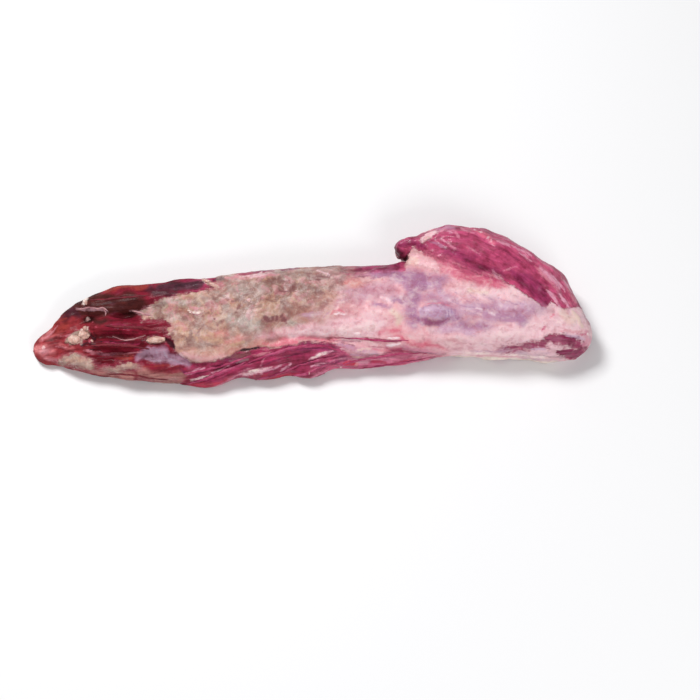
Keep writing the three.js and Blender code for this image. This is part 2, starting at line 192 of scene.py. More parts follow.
# Soft washes of colour over the lean, the fat and the skin: the tissue, how strongly it covers,
# how softly its edge fades (millimetres), and the strokes that it is laid on with.
LEAN_ALONG = [
    (30, "old red"), (70, "old red"), (110, "old crimson"), (170, "old crimson"), (200, "crimson"),
    (300, "crimson"), (360, "rosy lean"), (420, "wing lean"), (600, "wing lean"),
]
LEAN_WASHES = [
    # The tail.
    ("dried brown", 0.95, 6, [(62, 312, 4), (78, 306, 8), (100, 304, 10), (125, 303, 10), (143, 309, 6)],
        [(85, 318, 4), (100, 320, 3)], [(84, 295, 3), (110, 296, 3)]),
    ("near black", 0.3, 6, [(90, 318, 3), (106, 322, 3)], [(112, 303, 2), (130, 301, 2)]),
    ("old red", 0.9, 3, [(88, 291, 1), (106, 288, 2), (118, 284, 3), (140, 285, 2)]),
    ("dried brown", 0.7, 3, [(46, 330, 1), (60, 314, 2), (72, 302, 2)]),
    ("tip pink", 0.5, 5, [(70, 350, 2), (60, 345, 2)], [(52, 338, 1), (60, 334, 1)]),
    ("dried purple", 0.8, 4, [(64, 319, 3), (72, 311, 4), (78, 315, 3)], [(150, 290, 4), (175, 294, 3)]),
    ("dried orange", 0.85, 3, [(106, 291, 1.5), (122, 286, 3), (146, 287, 2)]),
    ("dried orange", 0.7, 5, [(54, 332, 3), (66, 327, 4)]),
    ("dark strand", 0.7, 3, [(44, 342, 1), (56, 338, 2), (66, 338, 1)], [(58, 348, 1), (72, 352, 2)]),
    ("dark strand", 0.85, 2, [(84, 345, 2), (110, 346, 3.6), (145, 346, 3)],
        [(88, 357, 2), (100, 361, 3), (112, 361, 2)]),
    ("dried orange", 0.8, 3, [(115, 357, 2), (124, 357, 3), (133, 356, 2)]),
    ("rim purple", 0.95, 3, [(158, 287, 2), (172, 286, 4), (188, 286, 5), (202, 284, 3)]),
    ("near black", 0.5, 2, [(176, 286, 1.5), (186, 285, 2), (197, 284, 1.5)]),
    ("tip pink", 0.9, 6, [(37, 350, 4), (45, 354, 6), (54, 353, 4)], [(43, 340, 2), (49, 334, 1)]),
    ("pink fat", 0.5, 4, [(39, 352, 1), (46, 350, 3)], [(44, 358, 1), (56, 360, 1)]),
    ("strip brown", 0.8, 5, [(92, 373, 3), (130, 376, 3)], [(140, 374, 4), (160, 375, 5), (178, 375, 4)]),
    ("strip brown", 0.7, 14, [(160, 374, 3), (178, 374, 2)]),
    ("old crimson", 0.35, 5, [(150, 369, 1), (168, 369, 2), (184, 369, 3)],
        [(176, 377, 1), (190, 378, 2)]),
    # The side strap.
    ("crimson", 0.7, 12, [(196, 374, 2), (198, 380, 3)]),
    ("dried brown", 0.6, 3, [(229, 358, 1), (236, 356, 3), (250, 354, 2)]),
    ("bright crimson", 0.85, 3, [(190, 385, 3), (205, 386, 3.5), (218, 384, 2), (232, 377, 1)],
        [(262, 377, 2), (282, 377, 2), (298, 375, 2)]),
    ("belly wine", 0.9, 4, [(290, 347, 3), (315, 346, 4), (336, 349, 3)]),
    ("wine", 0.7, 3, [(226, 360, 3), (240, 360, 3)], [(318, 368, 2), (345, 358, 3)]),
    ("rosy lean", 0.8, 4, [(386, 352, 4), (396, 352, 5), (408, 352, 5)], [(360, 364, 2), (410, 361, 3)]),
    ("pink edge", 0.6, 5, [(350, 360, 2), (366, 359, 4), (400, 357, 3), (440, 357, 3)]),
    # The wing and its nose.
    ("wing dark", 0.85, 4, [(398, 243, 4), (412, 242, 4), (424, 246, 2)]),
    # Painted shade on the underside of the nose.
    ("nose dark", 0.95, 4, [(395, 248, 2), (399, 255, 5)], [(404, 260, 4)]),
    ("border crimson", 0.75, 5,
        [(434, 256, 3), (452, 264, 4), (470, 270, 4), (486, 275, 4), (500, 280, 3)]),
    ("wing dark", 0.95, 3, [(511, 271, 1), (520, 277, 5), (534, 287, 8), (545, 298, 5), (548, 303, 2)]),
    ("wing dark", 0.8, 6, [(476, 266, 4), (500, 275, 4)], [(450, 250, 3), (475, 258, 4)]),
    ("rosy lean", 0.7, 4, [(436, 232, 2), (446, 230, 2)], [(470, 228, 3), (485, 235, 4), (500, 242, 4)],
        [(515, 249, 3), (545, 266, 4), (568, 290, 3), (580, 310, 2)]),
    # The blunt end, the wing's outer edge and the upper edge.
    ("strip wine", 0.95, 4, [(503, 347, 2), (530, 346, 3), (562, 340, 6), (582, 346, 5)],
        [(560, 353, 3), (578, 353, 5)]),
    ("dusk pink", 0.4, 5, [(542, 268, 2), (556, 284, 4), (570, 303, 3)]),
    ("rim magenta", 0.85, 3, [(346, 270, 4), (366, 269, 4), (396, 266, 4)]),
    ("mauve brown", 0.7, 6, [(338, 269, 4), (352, 270, 5)]),
    ("rim mauve", 0.8, 4, [(356, 277, 2), (374, 275, 2), (398, 274, 2.5)]),
]
FAT_ALONG = [
    (60, "olive"), (140, "olive"), (190, "beige"), (262, "khaki"), (300, "beige"), (365, "pink fat"),
    (420, "pink fat"), (520, "pale pink"), (600, "pale pink"),
]
FAT_WASHES = [
    # The old fat of the cover and of the tail.
    ("olive", 0.85, 6, [(148, 309, 3), (165, 305, 5), (185, 304, 6), (203, 302, 5)]),
    ("khaki", 0.8, 14, [(225, 303, 4), (255, 297, 7), (285, 295, 7), (318, 290, 4)],
        [(262, 284, 2), (300, 283, 2)]),
    ("cold grey", 0.6, 6, [(222, 293, 2), (238, 291, 3), (250, 288, 2)],
        [(150, 305, 1), (176, 303, 3), (198, 303, 2)]),
    ("mauve brown", 0.5, 5, [(62, 358, 1), (74, 366, 2)], [(84, 357, 1), (90, 366, 2)]),
    ("warm tan", 0.6, 4, [(68, 360, 2), (80, 361, 3)], [(112, 368, 1), (130, 366, 1)]),
    ("brown spot", 0.7, 4, [(232, 357, 2), (246, 356, 2)]),
    ("rosy beige", 0.8, 8, [(184, 350, 4), (205, 353, 6), (232, 348, 5), (262, 341, 4)],
        [(222, 335, 2), (250, 336, 3)]),
    ("khaki brown", 0.55, 4, [(250, 306, 3), (268, 310, 3)], [(205, 306, 2), (215, 301, 3)],
        [(296, 286, 3), (322, 292, 4)], [(312, 304, 3), (326, 302, 2)]),
    ("mauve brown", 0.8, 4, [(283, 287, 2), (294, 287, 2)],
        [(306, 274, 1), (312, 279, 3), (328, 278, 2)]),
    ("brown spot", 0.5, 3, [(266, 319, 3), (285, 319, 4)],
        [(308, 275, 1.5), (317, 278, 2.5), (328, 278, 2)]),
    ("grey fat", 0.8, 6, [(207, 317, 3), (228, 319, 5), (256, 325, 5)], [(290, 319, 3), (305, 321, 3)]),
    ("khaki brown", 0.5, 5, [(62, 360, 1), (84, 364, 2)], [(104, 370, 1), (138, 367, 1)]),
    ("warm tan", 0.7, 6, [(176, 322, 2), (182, 336, 4), (198, 328, 4), (208, 342, 3), (236, 343, 3)]),
    ("salmon", 0.55, 4, [(212, 334, 3), (226, 333, 4)], [(225, 342, 3), (245, 337, 4)]),
    # The pink fat of the middle, and the edge above it.
    ("pink fat", 0.9, 8, [(256, 338, 2), (280, 333, 4), (300, 330, 7), (360, 331, 7), (392, 328, 4)]),
    ("dusk pink", 0.5, 12, [(330, 276, 4), (348, 292, 6), (338, 308, 4)]),
    ("mauve brown", 0.7, 8, [(318, 268, 2), (334, 270, 4), (348, 272, 5)]),
    ("pale pink", 1, 7, [(286, 332, 6), (330, 331, 9)], [(340, 331, 8), (378, 328, 8)]),
    ("white fat", 0.3, 6, [(292, 332, 3), (330, 329, 5), (372, 326, 4)]),
    ("pale pink", 0.6, 5, [(300, 336, 3), (330, 326, 4), (352, 318, 4), (380, 314, 4)]),
    ("pink fat", 0.6, 5, [(180, 352, 2), (200, 359, 3), (222, 354, 3)]),
    ("rose", 0.6, 3, [(232, 279, 2), (252, 277, 2.5), (270, 275, 2)], [(205, 290, 2), (222, 285, 2)]),
    ("salmon", 0.8, 4, [(338, 284, 2), (350, 283, 4), (366, 287, 4)]),
    ("dusk pink", 0.8, 8, [(342, 298, 5), (365, 293, 8), (390, 292, 8)]),
    # The web below the wing.
    ("web", 0.9, 4, [(413, 250, 3), (408, 258, 6), (424, 262, 7), (440, 268, 4)]),
    ("cream", 0.55, 4, [(408, 252, 2), (404, 262, 5), (414, 262, 4)]),
    ("border salmon", 0.8, 4, [(426, 252, 2), (440, 260, 3), (450, 266, 3)]),
    ("border salmon", 0.95, 6,
        [(446, 268, 4), (462, 276, 7), (480, 282, 7), (497, 285, 5), (508, 287, 2)]),
    ("border crimson", 0.8, 3,
        [(430, 252, 1), (446, 261, 2), (462, 269, 3), (482, 275, 3), (500, 281, 2)]),
    ("pale pink", 0.8, 4, [(452, 290, 3), (480, 293, 5), (508, 295, 4), (526, 301, 3)]),
    ("cream", 0.7, 4, [(392, 311, 3), (400, 317, 4), (397, 324, 3)], [(468, 291, 2), (488, 293, 2)]),
    # The head, and the border along the strap.
    ("pale pink", 0.8, 6, [(455, 331, 5), (500, 335, 6), (545, 328, 5)], [(480, 345, 3), (540, 340, 2)]),
    ("salmon", 0.5, 5, [(236, 350, 2), (262, 344, 3), (276, 342, 2)]),
    ("rose", 0.6, 6, [(280, 341, 3), (300, 339, 3), (335, 338, 3)]),
    ("hot pink", 0.6, 5, [(262, 345, 2), (280, 342, 3), (300, 340, 3), (318, 340, 3), (336, 342, 2)]),
    ("dusk pink", 0.7, 5, [(340, 346, 3), (356, 350, 4), (374, 352, 4)]),
    ("border crimson", 0.6, 5, [(386, 346, 2), (404, 350, 3), (424, 352, 3), (440, 354, 2)]),
    ("pale pink", 0.9, 3, [(452, 353, 2.4), (490, 352.5, 2.6), (550, 353, 2.6)]),
    ("bone cream", 0.9, 2.5, [(446, 357, 2), (480, 358, 2.2), (530, 360, 2.2), (556, 361, 2)]),
    ("hot pink", 0.75, 6, [(398, 337, 2), (412, 340, 4), (430, 345, 4), (444, 348, 2)],
        [(380, 333, 2), (398, 331, 3)]),
    ("border crimson", 0.7, 5, [(396, 348, 3), (412, 352, 4), (430, 354, 3)]),
    ("cream", 0.6, 4, [(562, 313, 4), (570, 320, 5)]),
    ("pink edge", 0.7, 4, [(585, 334, 3), (588, 344, 3)]),
]
SKIN_WASHES = [
    # The film by the tail, then the skin over the head.
    ("film", 1, 5, [(136, 359, 3), (148, 356, 6), (164, 355, 6), (178, 359, 4), (190, 364, 2)]),
    ("skin", 1, 18, [(398, 279, 4), (418, 282, 8), (438, 284, 8), (448, 296, 6)],
        [(408, 296, 4), (410, 308, 5), (414, 320, 4)], [(428, 300, 6), (450, 304, 7), (458, 314, 6)],
        [(462, 306, 6), (480, 310, 8), (505, 311, 8), (528, 309, 6), (545, 307, 3)],
        [(440, 328, 2), (468, 326, 5), (486, 324, 3)]),
    ("skin", 0.8, 8, [(390, 300, 2), (399, 301, 3)], [(376, 305, 2), (388, 307, 2)],
        [(372, 276, 2), (396, 276, 3), (404, 278, 3)]),
    ("skin", 0.6, 12, [(300, 314, 2), (316, 315, 2)], [(345, 289, 2), (370, 294, 3)],
        [(570, 336, 2), (584, 338, 2)], [(500, 352, 3), (550, 353, 3)], [(560, 312, 2), (585, 318, 2)]),
    ("skin dark", 1, 9, [(404, 276, 4), (424, 279, 8), (442, 282, 5)], [(412, 290, 4), (414, 300, 4)],
        [(414, 304, 1), (413, 320, 2)], [(500, 319, 2), (522, 318, 3)], [(465, 322, 2), (480, 324, 2)]),
    ("skin bright", 0.8, 8, [(455, 308, 3), (478, 309, 3)], [(500, 304, 3), (524, 305, 3)],
        [(440, 329, 2), (470, 331, 2)], [(446, 296, 2), (458, 299, 2)]),
    # Painted shade along the lower edge of the swelling, in the darker skin colour.
    ("skin dark", 0.95, 4, [(412, 316, 2), (424, 321, 3), (440, 323, 3), (456, 318, 2)]),
    ("skin blue", 0.95, 4, [(424, 312, 4), (432, 312, 6.5), (443, 313, 6), (452, 313, 3)]),
    # Painted shadow under the lower edge of the swelling.
    ("crescent", 0.95, 3, [(422, 319.5, 0.8), (430, 322.5, 1.8), (440, 322.5, 1.8), (448, 319.5, 0.8)]),
]

# Marks: small things with a colour of their own, on any tissue, and some painted highlights and
# painted shade. Each has the tissue, how strongly it covers, how far it stands out (millimetres,
# less than 0 sinks in), and its strokes.
MARKS = [
    # The tail.
    ("white fat", 0.9, 0.4, [(84, 303, 1.2), (86, 298, 1.7)], [(82, 331, 1.2), (86, 328, 1.5)]),
    ("white fat", 0.95, 0.9, [(86.5, 319.5, 1.2), (87, 318.5, 1.5)]),
    ("dark strand", 0.6, -0.3, [(46, 336, 0.4), (56, 331, 0.8), (68, 329, 0.5)],
        [(48, 344, 0.4), (60, 342, 0.9), (74, 344, 0.5)],
        [(52, 357, 0.4), (64, 352, 0.8), (78, 349, 0.5)]),
    ("rose", 0.6, 0.2, [(42, 341, 0.5), (50, 334, 0.9), (58, 326, 0.5)], [(56, 346, 0.4), (66, 348, 0.8)],
        [(46, 360, 0.5), (58, 362, 0.8)], [(60, 336, 0.4), (70, 335, 0.7)]),
    ("dried orange", 0.7, 0.1, [(52, 326, 0.8), (60, 320, 1.4), (68, 318, 0.8)]),
    ("mauve", 0.7, 0.2, [(76, 308, 0.8), (88, 309, 1.7), (100, 309, 1.5), (108, 312, 0.8)],
        [(131, 311, 0.7), (140, 313, 1.3), (149, 315, 1.4)]),
    ("streak core", 0.9, 0.2, [(44, 347, 1.3)], [(92, 340, 1.5)]),
    ("streak", 0.7, 0.1, [(116, 328, 0.7), (119, 328, 0.8)], [(124, 328, 0.6), (129, 328.5, 0.7)]),
    # Painted shade in the groove between the tail's strands.
    ("near black", 0.85, -0.5, [(82, 345, 0.7), (95, 341, 1.1), (120, 342, 0.9), (142, 341, 0.6)],
        [(86, 350, 0.6), (100, 350.5, 0.8)]),
    ("mauve brown", 0.8, 0.2, [(113, 336, 0.5), (124, 339.5, 0.9), (134, 339, 0.9), (144, 335.5, 0.5)]),
    ("rose", 0.75, 0.5,
        [(84, 350, 0.7), (93, 353, 1.4), (110, 354.5, 1.3), (124, 354, 1), (141, 352.5, 0.6)]),
    ("streak", 0.6, 0.2, [(98, 354, 0.3), (108, 354.8, 0.6), (116, 354.6, 0.3)]),
    ("film bright", 0.6, 0.1, [(164, 352, 0.7), (167, 358, 1.2)], [(156, 350, 0.8), (158, 355, 1)],
        [(142, 357, 0.6), (150, 360, 1), (160, 361, 0.7)], [(170, 359, 0.6), (182, 364, 1)]),
    ("dark strand", 0.5, -0.2, [(138, 362, 0.5), (146, 356, 0.8)], [(148, 352, 0.5), (153, 358, 0.8)],
        [(160, 364, 0.5), (172, 363, 0.8)]),
    # Painted shade in the gaps around the tail's fat lumps.
    ("near black", 0.6, -0.5, [(84, 337, 0.6), (92, 345, 1.4), (98, 346, 0.8)],
        [(93, 330, 0.5), (97, 336, 0.9)]),
    ("hot pink", 0.5, 0.2, [(90, 341, 1), (94, 338, 1)], [(93, 322, 0.6)], [(97, 327, 0.6)]),
    ("crimson", 0.6, 0.1, [(112, 325, 1), (128, 327, 2), (145, 326, 1)],
        [(104, 342, 0.7), (122, 345, 1.4), (140, 344, 0.7)]),
    ("dried brown", 0.6, -0.2, [(104, 331, 0.6), (120, 332, 1), (138, 332, 0.6)],
        [(110, 320, 0.6), (122, 320, 1)]),
    # Painted shade around the fat lump beside the groove.
    ("near black", 0.5, -0.3, [(147, 335, 0.5), (156, 335, 0.7)], [(150, 344, 0.6), (163, 344.5, 1.1)]),
    ("wine", 0.6, -0.3, [(181, 352, 0.5), (186, 357, 0.7), (193, 361, 0.5)]),
    ("dried orange", 0.7, 0.1, [(142, 367, 0.7), (160, 365, 0.8), (178, 366.5, 0.7)]),
    ("beige", 0.6, 0.3, [(170, 375, 1), (177, 375, 1.7), (184, 373.5, 0.8)]),
    ("wine", 0.9, -0.2, [(181, 370, 0.9), (185, 373, 1.5)]),
    # The upper edge and the fat cover.
    ("cream", 0.85, 0.3, [(203, 279.5, 1), (208, 281.5, 1.4)],
        [(206, 283, 1), (213, 285.5, 1.4), (219, 287.5, 1.1)]),
    ("rim purple", 0.85, -0.4, [(214, 280.5, 1.2), (221, 279, 1.9), (228, 278, 0.9)]),
    ("rim magenta", 0.8, 0, [(274, 270, 0.7), (284, 268.6, 1.5), (296, 268.2, 1.4), (308, 267.6, 0.8)]),
    ("khaki brown", 0.8, -0.3, [(208, 285.5, 0.7), (213, 288, 0.9)]),
    ("crimson", 0.9, 0, [(234, 276.5, 0.8), (244, 274.5, 1.6), (256, 273.5, 1.8), (274, 272, 0.8)]),
    ("wine", 0.9, 0, [(254, 272.5, 0.6), (262, 271.5, 1.2), (272, 271.5, 0.7)],
        [(281, 271, 0.8), (288, 269.8, 1.5), (298, 269, 0.8)]),
    ("mauve brown", 0.7, 0, [(300, 269, 0.6), (320, 268, 1), (345, 267, 1)]),
    ("rose", 0.7, 0.1, [(226, 278, 1), (238, 277.5, 1.2)],
        [(252, 278, 0.8), (262, 276.8, 1), (280, 275, 0.7)]),
    ("pale pink", 0.7, 0.2, [(244, 277.5, 0.5), (258, 275.8, 0.8), (276, 273.8, 0.5)]),
    ("pale pink", 0.8, 0.2, [(250, 279, 0.8), (261, 275, 1.1)],
        [(318, 271.5, 0.8), (324, 273.5, 1.1), (329, 275.5, 0.7)]),
    ("brown spot", 0.8, -0.3, [(305, 274, 0.6), (309, 277, 1), (311, 281, 0.7)],
        [(313, 278, 0.7), (320, 280.5, 1)], [(318, 276.5, 0.6), (325, 278, 1), (331, 279.5, 0.6)]),
    ("khaki brown", 0.6, 0, [(331, 274, 2.2), (338, 272, 3.2), (345, 271, 2.2)],
        [(305, 268, 1), (320, 267, 1.6), (335, 267, 1)]),
    ("brown spot", 0.85, -0.4, [(279, 290, 1), (284, 291.5, 1.2)], [(287, 291.5, 1.2), (295, 291.5, 1)],
        [(281, 282, 0.7), (289, 281, 1)]),
    ("white fat", 0.8, 0.3, [(189, 310, 0.6), (192.5, 313, 1), (198, 314.5, 1), (204, 311.5, 0.6)]),
    ("rose", 0.6, 0.1, [(190, 307, 0.8), (196, 309, 1.2), (203, 308, 0.8)],
        [(186, 315, 1), (190, 319, 0.8)]),
    ("khaki brown", 0.6, -0.2, [(183, 316, 0.8), (188, 320, 1.1)], [(190, 328, 0.9), (192, 336, 0.9)],
        [(252, 308, 0.9), (262, 306, 1.3)], [(208, 324, 0.8), (214, 322, 0.8)]),
    ("brown spot", 0.9, -0.4, [(217, 326, 1.3)], [(214.5, 319.5, 1)], [(172, 334, 1.6)],
        [(221, 333, 1), (226, 334, 0.8)], [(198, 332, 0.8), (200, 329, 0.8)], [(182, 341, 0.8)],
        [(238, 309, 1), (241, 305, 0.8)]),
    ("khaki brown", 0.7, -0.3, [(232, 302, 1.2), (240, 299, 1.6), (247, 303, 1)],
        [(222, 296, 1), (228, 300, 1.3)], [(205, 343, 0.7), (212, 346, 1), (220, 345, 0.7)],
        [(187, 338, 0.8), (188, 346, 1)]),
    ("warm tan", 0.7, 0.3, [(194, 335, 1.4), (198, 342, 1.8)], [(207, 331, 1.3), (213, 335, 1.6)],
        [(222, 342, 1), (232, 344, 1.6), (244, 342, 1.2)], [(178, 333, 1.2), (182, 329, 1.4)]),
    ("pale pink", 0.9, 0.3, [(249, 301, 1.1)]),
    ("salmon", 0.4, 0.1, [(216, 333, 1.2), (222, 332, 1.8), (228, 335, 1.2)],
        [(226, 342, 1.2), (238, 340, 1.8), (246, 337, 1.2)]),
    ("mauve brown", 0.7, -0.2, [(263, 321, 1.5), (274, 319, 3.2), (288, 319, 2)]),
    ("brown spot", 0.95, -0.6, [(265.5, 317, 1.8), (268, 320, 1.8)],
        [(272.5, 316, 0.8), (272.5, 321, 0.9)], [(276.5, 316, 0.8), (277, 321.5, 0.9)],
        [(281, 315, 1.5), (283.5, 320.5, 2.2), (286, 323, 1)]),
    ("mauve brown", 0.7, -0.2, [(315, 310, 1.4), (321, 308, 2.4), (327, 304.5, 1.2)],
        [(325, 297, 0.8), (331, 301, 1.2)]),
    ("lilac", 0.5, 0, [(303, 314, 1.2), (309, 314.5, 1.8), (313, 312.5, 0.9)]),
    ("hot pink", 0.7, 0.3, [(330, 316.5, 0.5), (334, 312, 1), (340, 310.5, 0.9), (345, 313, 0.6)]),
    # Painted highlights: small wet spots on the pink flap and on the pink fat.
    ("glint", 0.9, 0.3, [(335, 314.5, 0.6), (340, 313.5, 0.8), (345, 314.5, 0.5)],
        [(356, 333, 1.1), (359, 334, 1)]),
    ("lilac", 0.6, -0.2, [(323, 317.5, 0.5), (330, 312, 0.7)]),
    ("skin dark", 0.6, -0.1, [(377, 304, 1), (382, 305, 2), (387, 306, 1.2)],
        [(393, 302, 1.3), (398, 300, 2.2), (402, 303, 1.5)]),
    ("pale pink", 0.8, 0.2, [(382, 298, 1.2), (387, 300, 1.8), (391, 303, 1)]),
    # The border of the fat along the strap.
    ("hot pink", 0.8, 0, [(276, 345, 1.2), (286, 344, 2.1), (297, 342, 1.6)]),
    ("brown spot", 0.8, -0.2, [(238, 351.5, 0.6), (246, 350, 1.8), (260, 348, 1)]),
    ("near black", 0.95, -0.6, [(242, 350.2, 0.7), (245.5, 349.4, 1.3), (249, 349.4, 0.6)],
        [(251.5, 348.8, 0.6), (255, 347.8, 1.2), (259, 347.4, 0.6)]),
    ("mauve", 0.65, 0.1, [(229, 361.5, 0.8), (237, 361.5, 2.2), (247, 359, 1.5)]),
    ("brown spot", 0.7, 0.1, [(227, 358.4, 0.7), (236, 356.6, 1.5), (249, 354, 1.5)]),
    ("rose", 0.65, 0.2, [(253, 356.5, 0.6), (262, 354.4, 1.5), (272, 352.6, 0.9)],
        [(262, 350, 0.5), (269, 348.5, 1)]),
    ("wine", 0.6, -0.2, [(330, 341, 0.5), (345, 340.5, 0.9), (360, 341, 0.6)]),
    ("crimson", 0.9, -0.4, [(361, 337, 0.5), (375, 338.5, 0.9), (388, 340.5, 0.9), (401, 341, 0.6)]),
    # Painted highlights above and below the crimson line.
    ("glint", 0.9, 0.3, [(388, 338, 0.6), (394, 337.3, 0.9), (400, 337.8, 0.6)],
        [(386, 345, 0.6), (393, 344, 1), (400, 343, 0.7)]),
    # The side strap.
    ("streak", 0.8, 0.2, [(186, 374, 0.9), (196, 371, 1.4), (204, 368.5, 0.8)],
        [(212, 373, 0.5), (222, 369, 0.9), (230, 366, 0.6)]),
    ("streak core", 0.85, 0.3, [(191, 380.5, 0.7), (200, 378.5, 1.2), (212, 376, 0.7)]),
    ("seam", 0.8, -0.5, [(196, 374, 0.6), (206, 371, 0.8), (222, 364, 0.6)],
        [(204, 379.5, 0.7), (216, 375, 0.9), (228, 369, 0.7)],
        [(262, 366, 0.6), (285, 357, 0.9), (310, 351, 0.7)],
        [(290, 369, 0.7), (310, 361, 0.9), (334, 356, 0.7)],
        [(318, 370, 0.6), (335, 364, 0.9), (350, 358, 0.6)],
        [(248, 364, 0.6), (262, 358, 0.7), (276, 351, 0.5)]),
    # Along the strap's lower edge: a pale membrane, and a painted highlight on it.
    ("pink edge", 0.8, 0.2, [(213, 388, 0.6), (222, 384, 0.9), (232, 378, 1), (240, 373.5, 0.8)],
        [(312, 377.5, 0.6), (318, 374, 0.9), (328, 371, 0.8), (339, 369, 0.6)]),
    ("rose", 0.7, 0.2, [(243, 374, 1.4), (252, 372, 2.4), (262, 371, 2.2), (269, 369, 1)]),
    ("pale pink", 0.8, 0.2, [(243, 374.5, 0.4), (252, 373, 0.9), (262, 371.5, 0.5)],
        [(256, 370.5, 0.4), (264, 369.5, 0.9), (272, 367, 0.4)]),
    ("white fat", 0.8, 0.3, [(249, 371, 0.9), (257, 370, 1)]),
    ("fresh red", 0.9, 0.1, [(255, 376.5, 1.1)], [(250, 376, 0.7)],
        [(345, 364, 1.8), (350, 362.5, 2.7), (355, 363, 1.8)]),
    ("streak", 0.8, 0.3, [(262, 372, 0.6), (270, 370, 1.1), (281, 366, 0.6)],
        [(281, 371.5, 0.6), (286, 367.5, 1), (291, 364, 0.6)],
        [(309, 359, 0.7), (317, 355.5, 1.9), (325, 353, 1.7), (333, 350.5, 0.6)],
        [(310, 367, 0.7), (316, 364.5, 1.2), (327, 362.5, 0.7)]),
    ("streak core", 0.9, 0.2, [(313, 357, 0.6), (319, 355, 1), (326, 353, 0.7)], [(309, 372.5, 1.2)],
        [(341, 367.5, 0.9)]),
    ("pink edge", 0.6, 0.2, [(326, 364, 0.5), (335, 360, 0.9), (346, 358, 0.5)],
        [(267, 354, 0.5), (263, 360, 0.6), (260, 366, 0.5)]),
    ("salmon", 0.8, 0.1, [(355, 366, 0.9), (358, 363, 1.2)]),
    ("lilac", 0.7, 0.1, [(338, 345, 0.6), (350, 347, 1.4), (366, 351, 0.8)],
        [(350, 353, 0.5), (364, 355, 1), (380, 354, 0.5)]),
    ("crimson", 0.6, -0.3, [(342, 348, 0.3), (356, 352, 0.7), (374, 355.5, 0.4)],
        [(366, 346, 0.3), (378, 347.5, 0.6), (390, 348, 0.3)]),
    ("hot pink", 0.6, 0, [(370, 349, 0.5), (382, 350.5, 1.2), (396, 351, 0.7)]),
    ("crimson", 0.45, 0, [(391, 349, 1.5), (399, 352.5, 3.6), (410, 355.5, 2.4)]),
    ("seam", 0.6, -0.3, [(341, 343, 0.5), (352, 345, 0.6), (361, 350.5, 0.5)],
        [(366, 356, 0.6), (378, 355, 0.8), (388, 355.5, 0.5)]),
    ("cream", 0.6, 0.2, [(358, 350, 0.5), (365, 348.5, 1), (371, 349, 0.5)],
        [(353, 356, 0.6), (362, 358.5, 1.3), (369, 359, 0.7)]),
    ("bright crimson", 0.8, 0, [(371, 362, 1), (378, 362, 1.8), (386, 362, 1)],
        [(392, 363.5, 0.9), (404, 361.5, 1.4), (414, 359, 0.9)]),
    ("pink edge", 0.7, 0.1, [(406, 347, 1.2), (420, 350, 1.8), (436, 352, 1.4)]),
    # The wing.
    ("lilac", 0.6, 0.1, [(436, 229, 1), (446, 227, 2), (456, 229, 1)],
        [(428, 241, 1), (437, 244, 1.6), (445, 248, 1)]),
    ("pale pink", 0.75, 0.3, [(421, 241, 1.4), (427, 237.5, 2.8), (436, 232.5, 2)]),
    ("pink edge", 0.7, 0.2, [(453, 230, 0.8), (457, 234, 1.8), (459, 238, 0.8)],
        [(462, 228, 0.6), (468, 232, 1.2), (474, 233, 0.6)]),
    # The first stroke is a painted sheen on the top of the wing; the others are pale streaks.
    ("streak", 0.7, 0.1, [(438, 231.5, 0.9), (446, 230.5, 1.4), (452, 232.5, 0.9)],
        [(441, 240, 0.7), (448, 243, 1.2), (455, 249, 1)],
        [(495, 240, 0.8), (508, 245, 1.3), (520, 250, 1.1), (532, 256, 0.8)],
        [(519, 253, 0.7), (525, 256, 1.3), (532, 261, 0.8)], [(493, 269.5, 0.7), (496, 277, 1.1)]),
    ("pink edge", 0.7, 0.1, [(504, 271, 0.4), (510, 268.5, 0.9), (517, 266.5, 0.5)],
        [(448, 244, 0.5), (454.5, 248.5, 0.9)], [(466, 246, 0.4), (474, 250, 0.8), (480, 255, 0.4)]),
    ("wing dark", 0.7, -0.2, [(438, 252, 0.5), (446, 254, 0.9)],
        [(452, 258, 0.5), (460, 263, 1), (468, 266, 0.6)], [(456, 252, 0.4), (470, 259, 0.8)],
        [(474, 268, 0.5), (482, 272, 0.9)]),
    ("seam", 0.6, -0.3, [(431, 241, 0.5), (440, 236.5, 0.7)],
        [(486, 243, 0.5), (505, 251, 0.7), (522, 262, 0.5)]),
    ("hot pink", 0.6, 0.1, [(477, 231.5, 1.6), (486, 236, 2.4), (494, 241.5, 2)]),
    ("pale pink", 0.85, 0.3, [(481, 232, 1)], [(487.5, 238, 1)], [(475, 229, 0.9)], [(491, 240, 0.8)]),
    ("wing dark", 0.8, 0,
        [(434, 227.5, 0.9), (450, 224, 1.2), (466, 223.5, 1.2), (480, 227, 1), (493, 234.5, 0.7)],
        [(577, 300, 0.7), (583, 311, 0.9), (588, 325, 0.8)]),
    ("rose", 0.6, 0.2, [(534, 266, 0.6), (542, 273, 1.3), (550, 282, 1.2), (556, 290, 0.6)],
        [(560, 276, 0.5), (568, 288, 1), (575, 302, 0.8)]),
    ("streak", 0.9, 0.35, [(539, 267, 0.6), (546, 273, 1.3), (553, 280, 1.3), (560, 288, 0.7)],
        [(550, 274, 0.5), (557, 281, 1), (566, 292, 0.6)],
        [(547, 289, 0.8), (552, 295.5, 2), (556, 301, 2), (560, 308, 1)],
        [(559, 294, 0.6), (564, 300, 1.5), (570, 309, 0.8)],
        [(564, 280, 0.4), (568, 286, 0.7), (572, 293, 0.4)]),
    # The head.
    # Painted shadow under the lower edge of the swelling.
    ("crescent", 0.6, -0.4, [(425, 320.5, 0.5), (431, 322.5, 1), (438, 323, 1), (444, 321, 0.5)]),
    # A painted highlight on the top of the swelling.
    ("skin bright", 0.6, 0.1, [(425, 311.5, 1), (431, 308.5, 1.8), (440, 308.5, 1.4)]),
    ("fold", 0.7, -0.5, [(444.5, 311, 0.5), (445.5, 319, 0.6)], [(448, 310, 0.5), (449, 318.5, 0.6)],
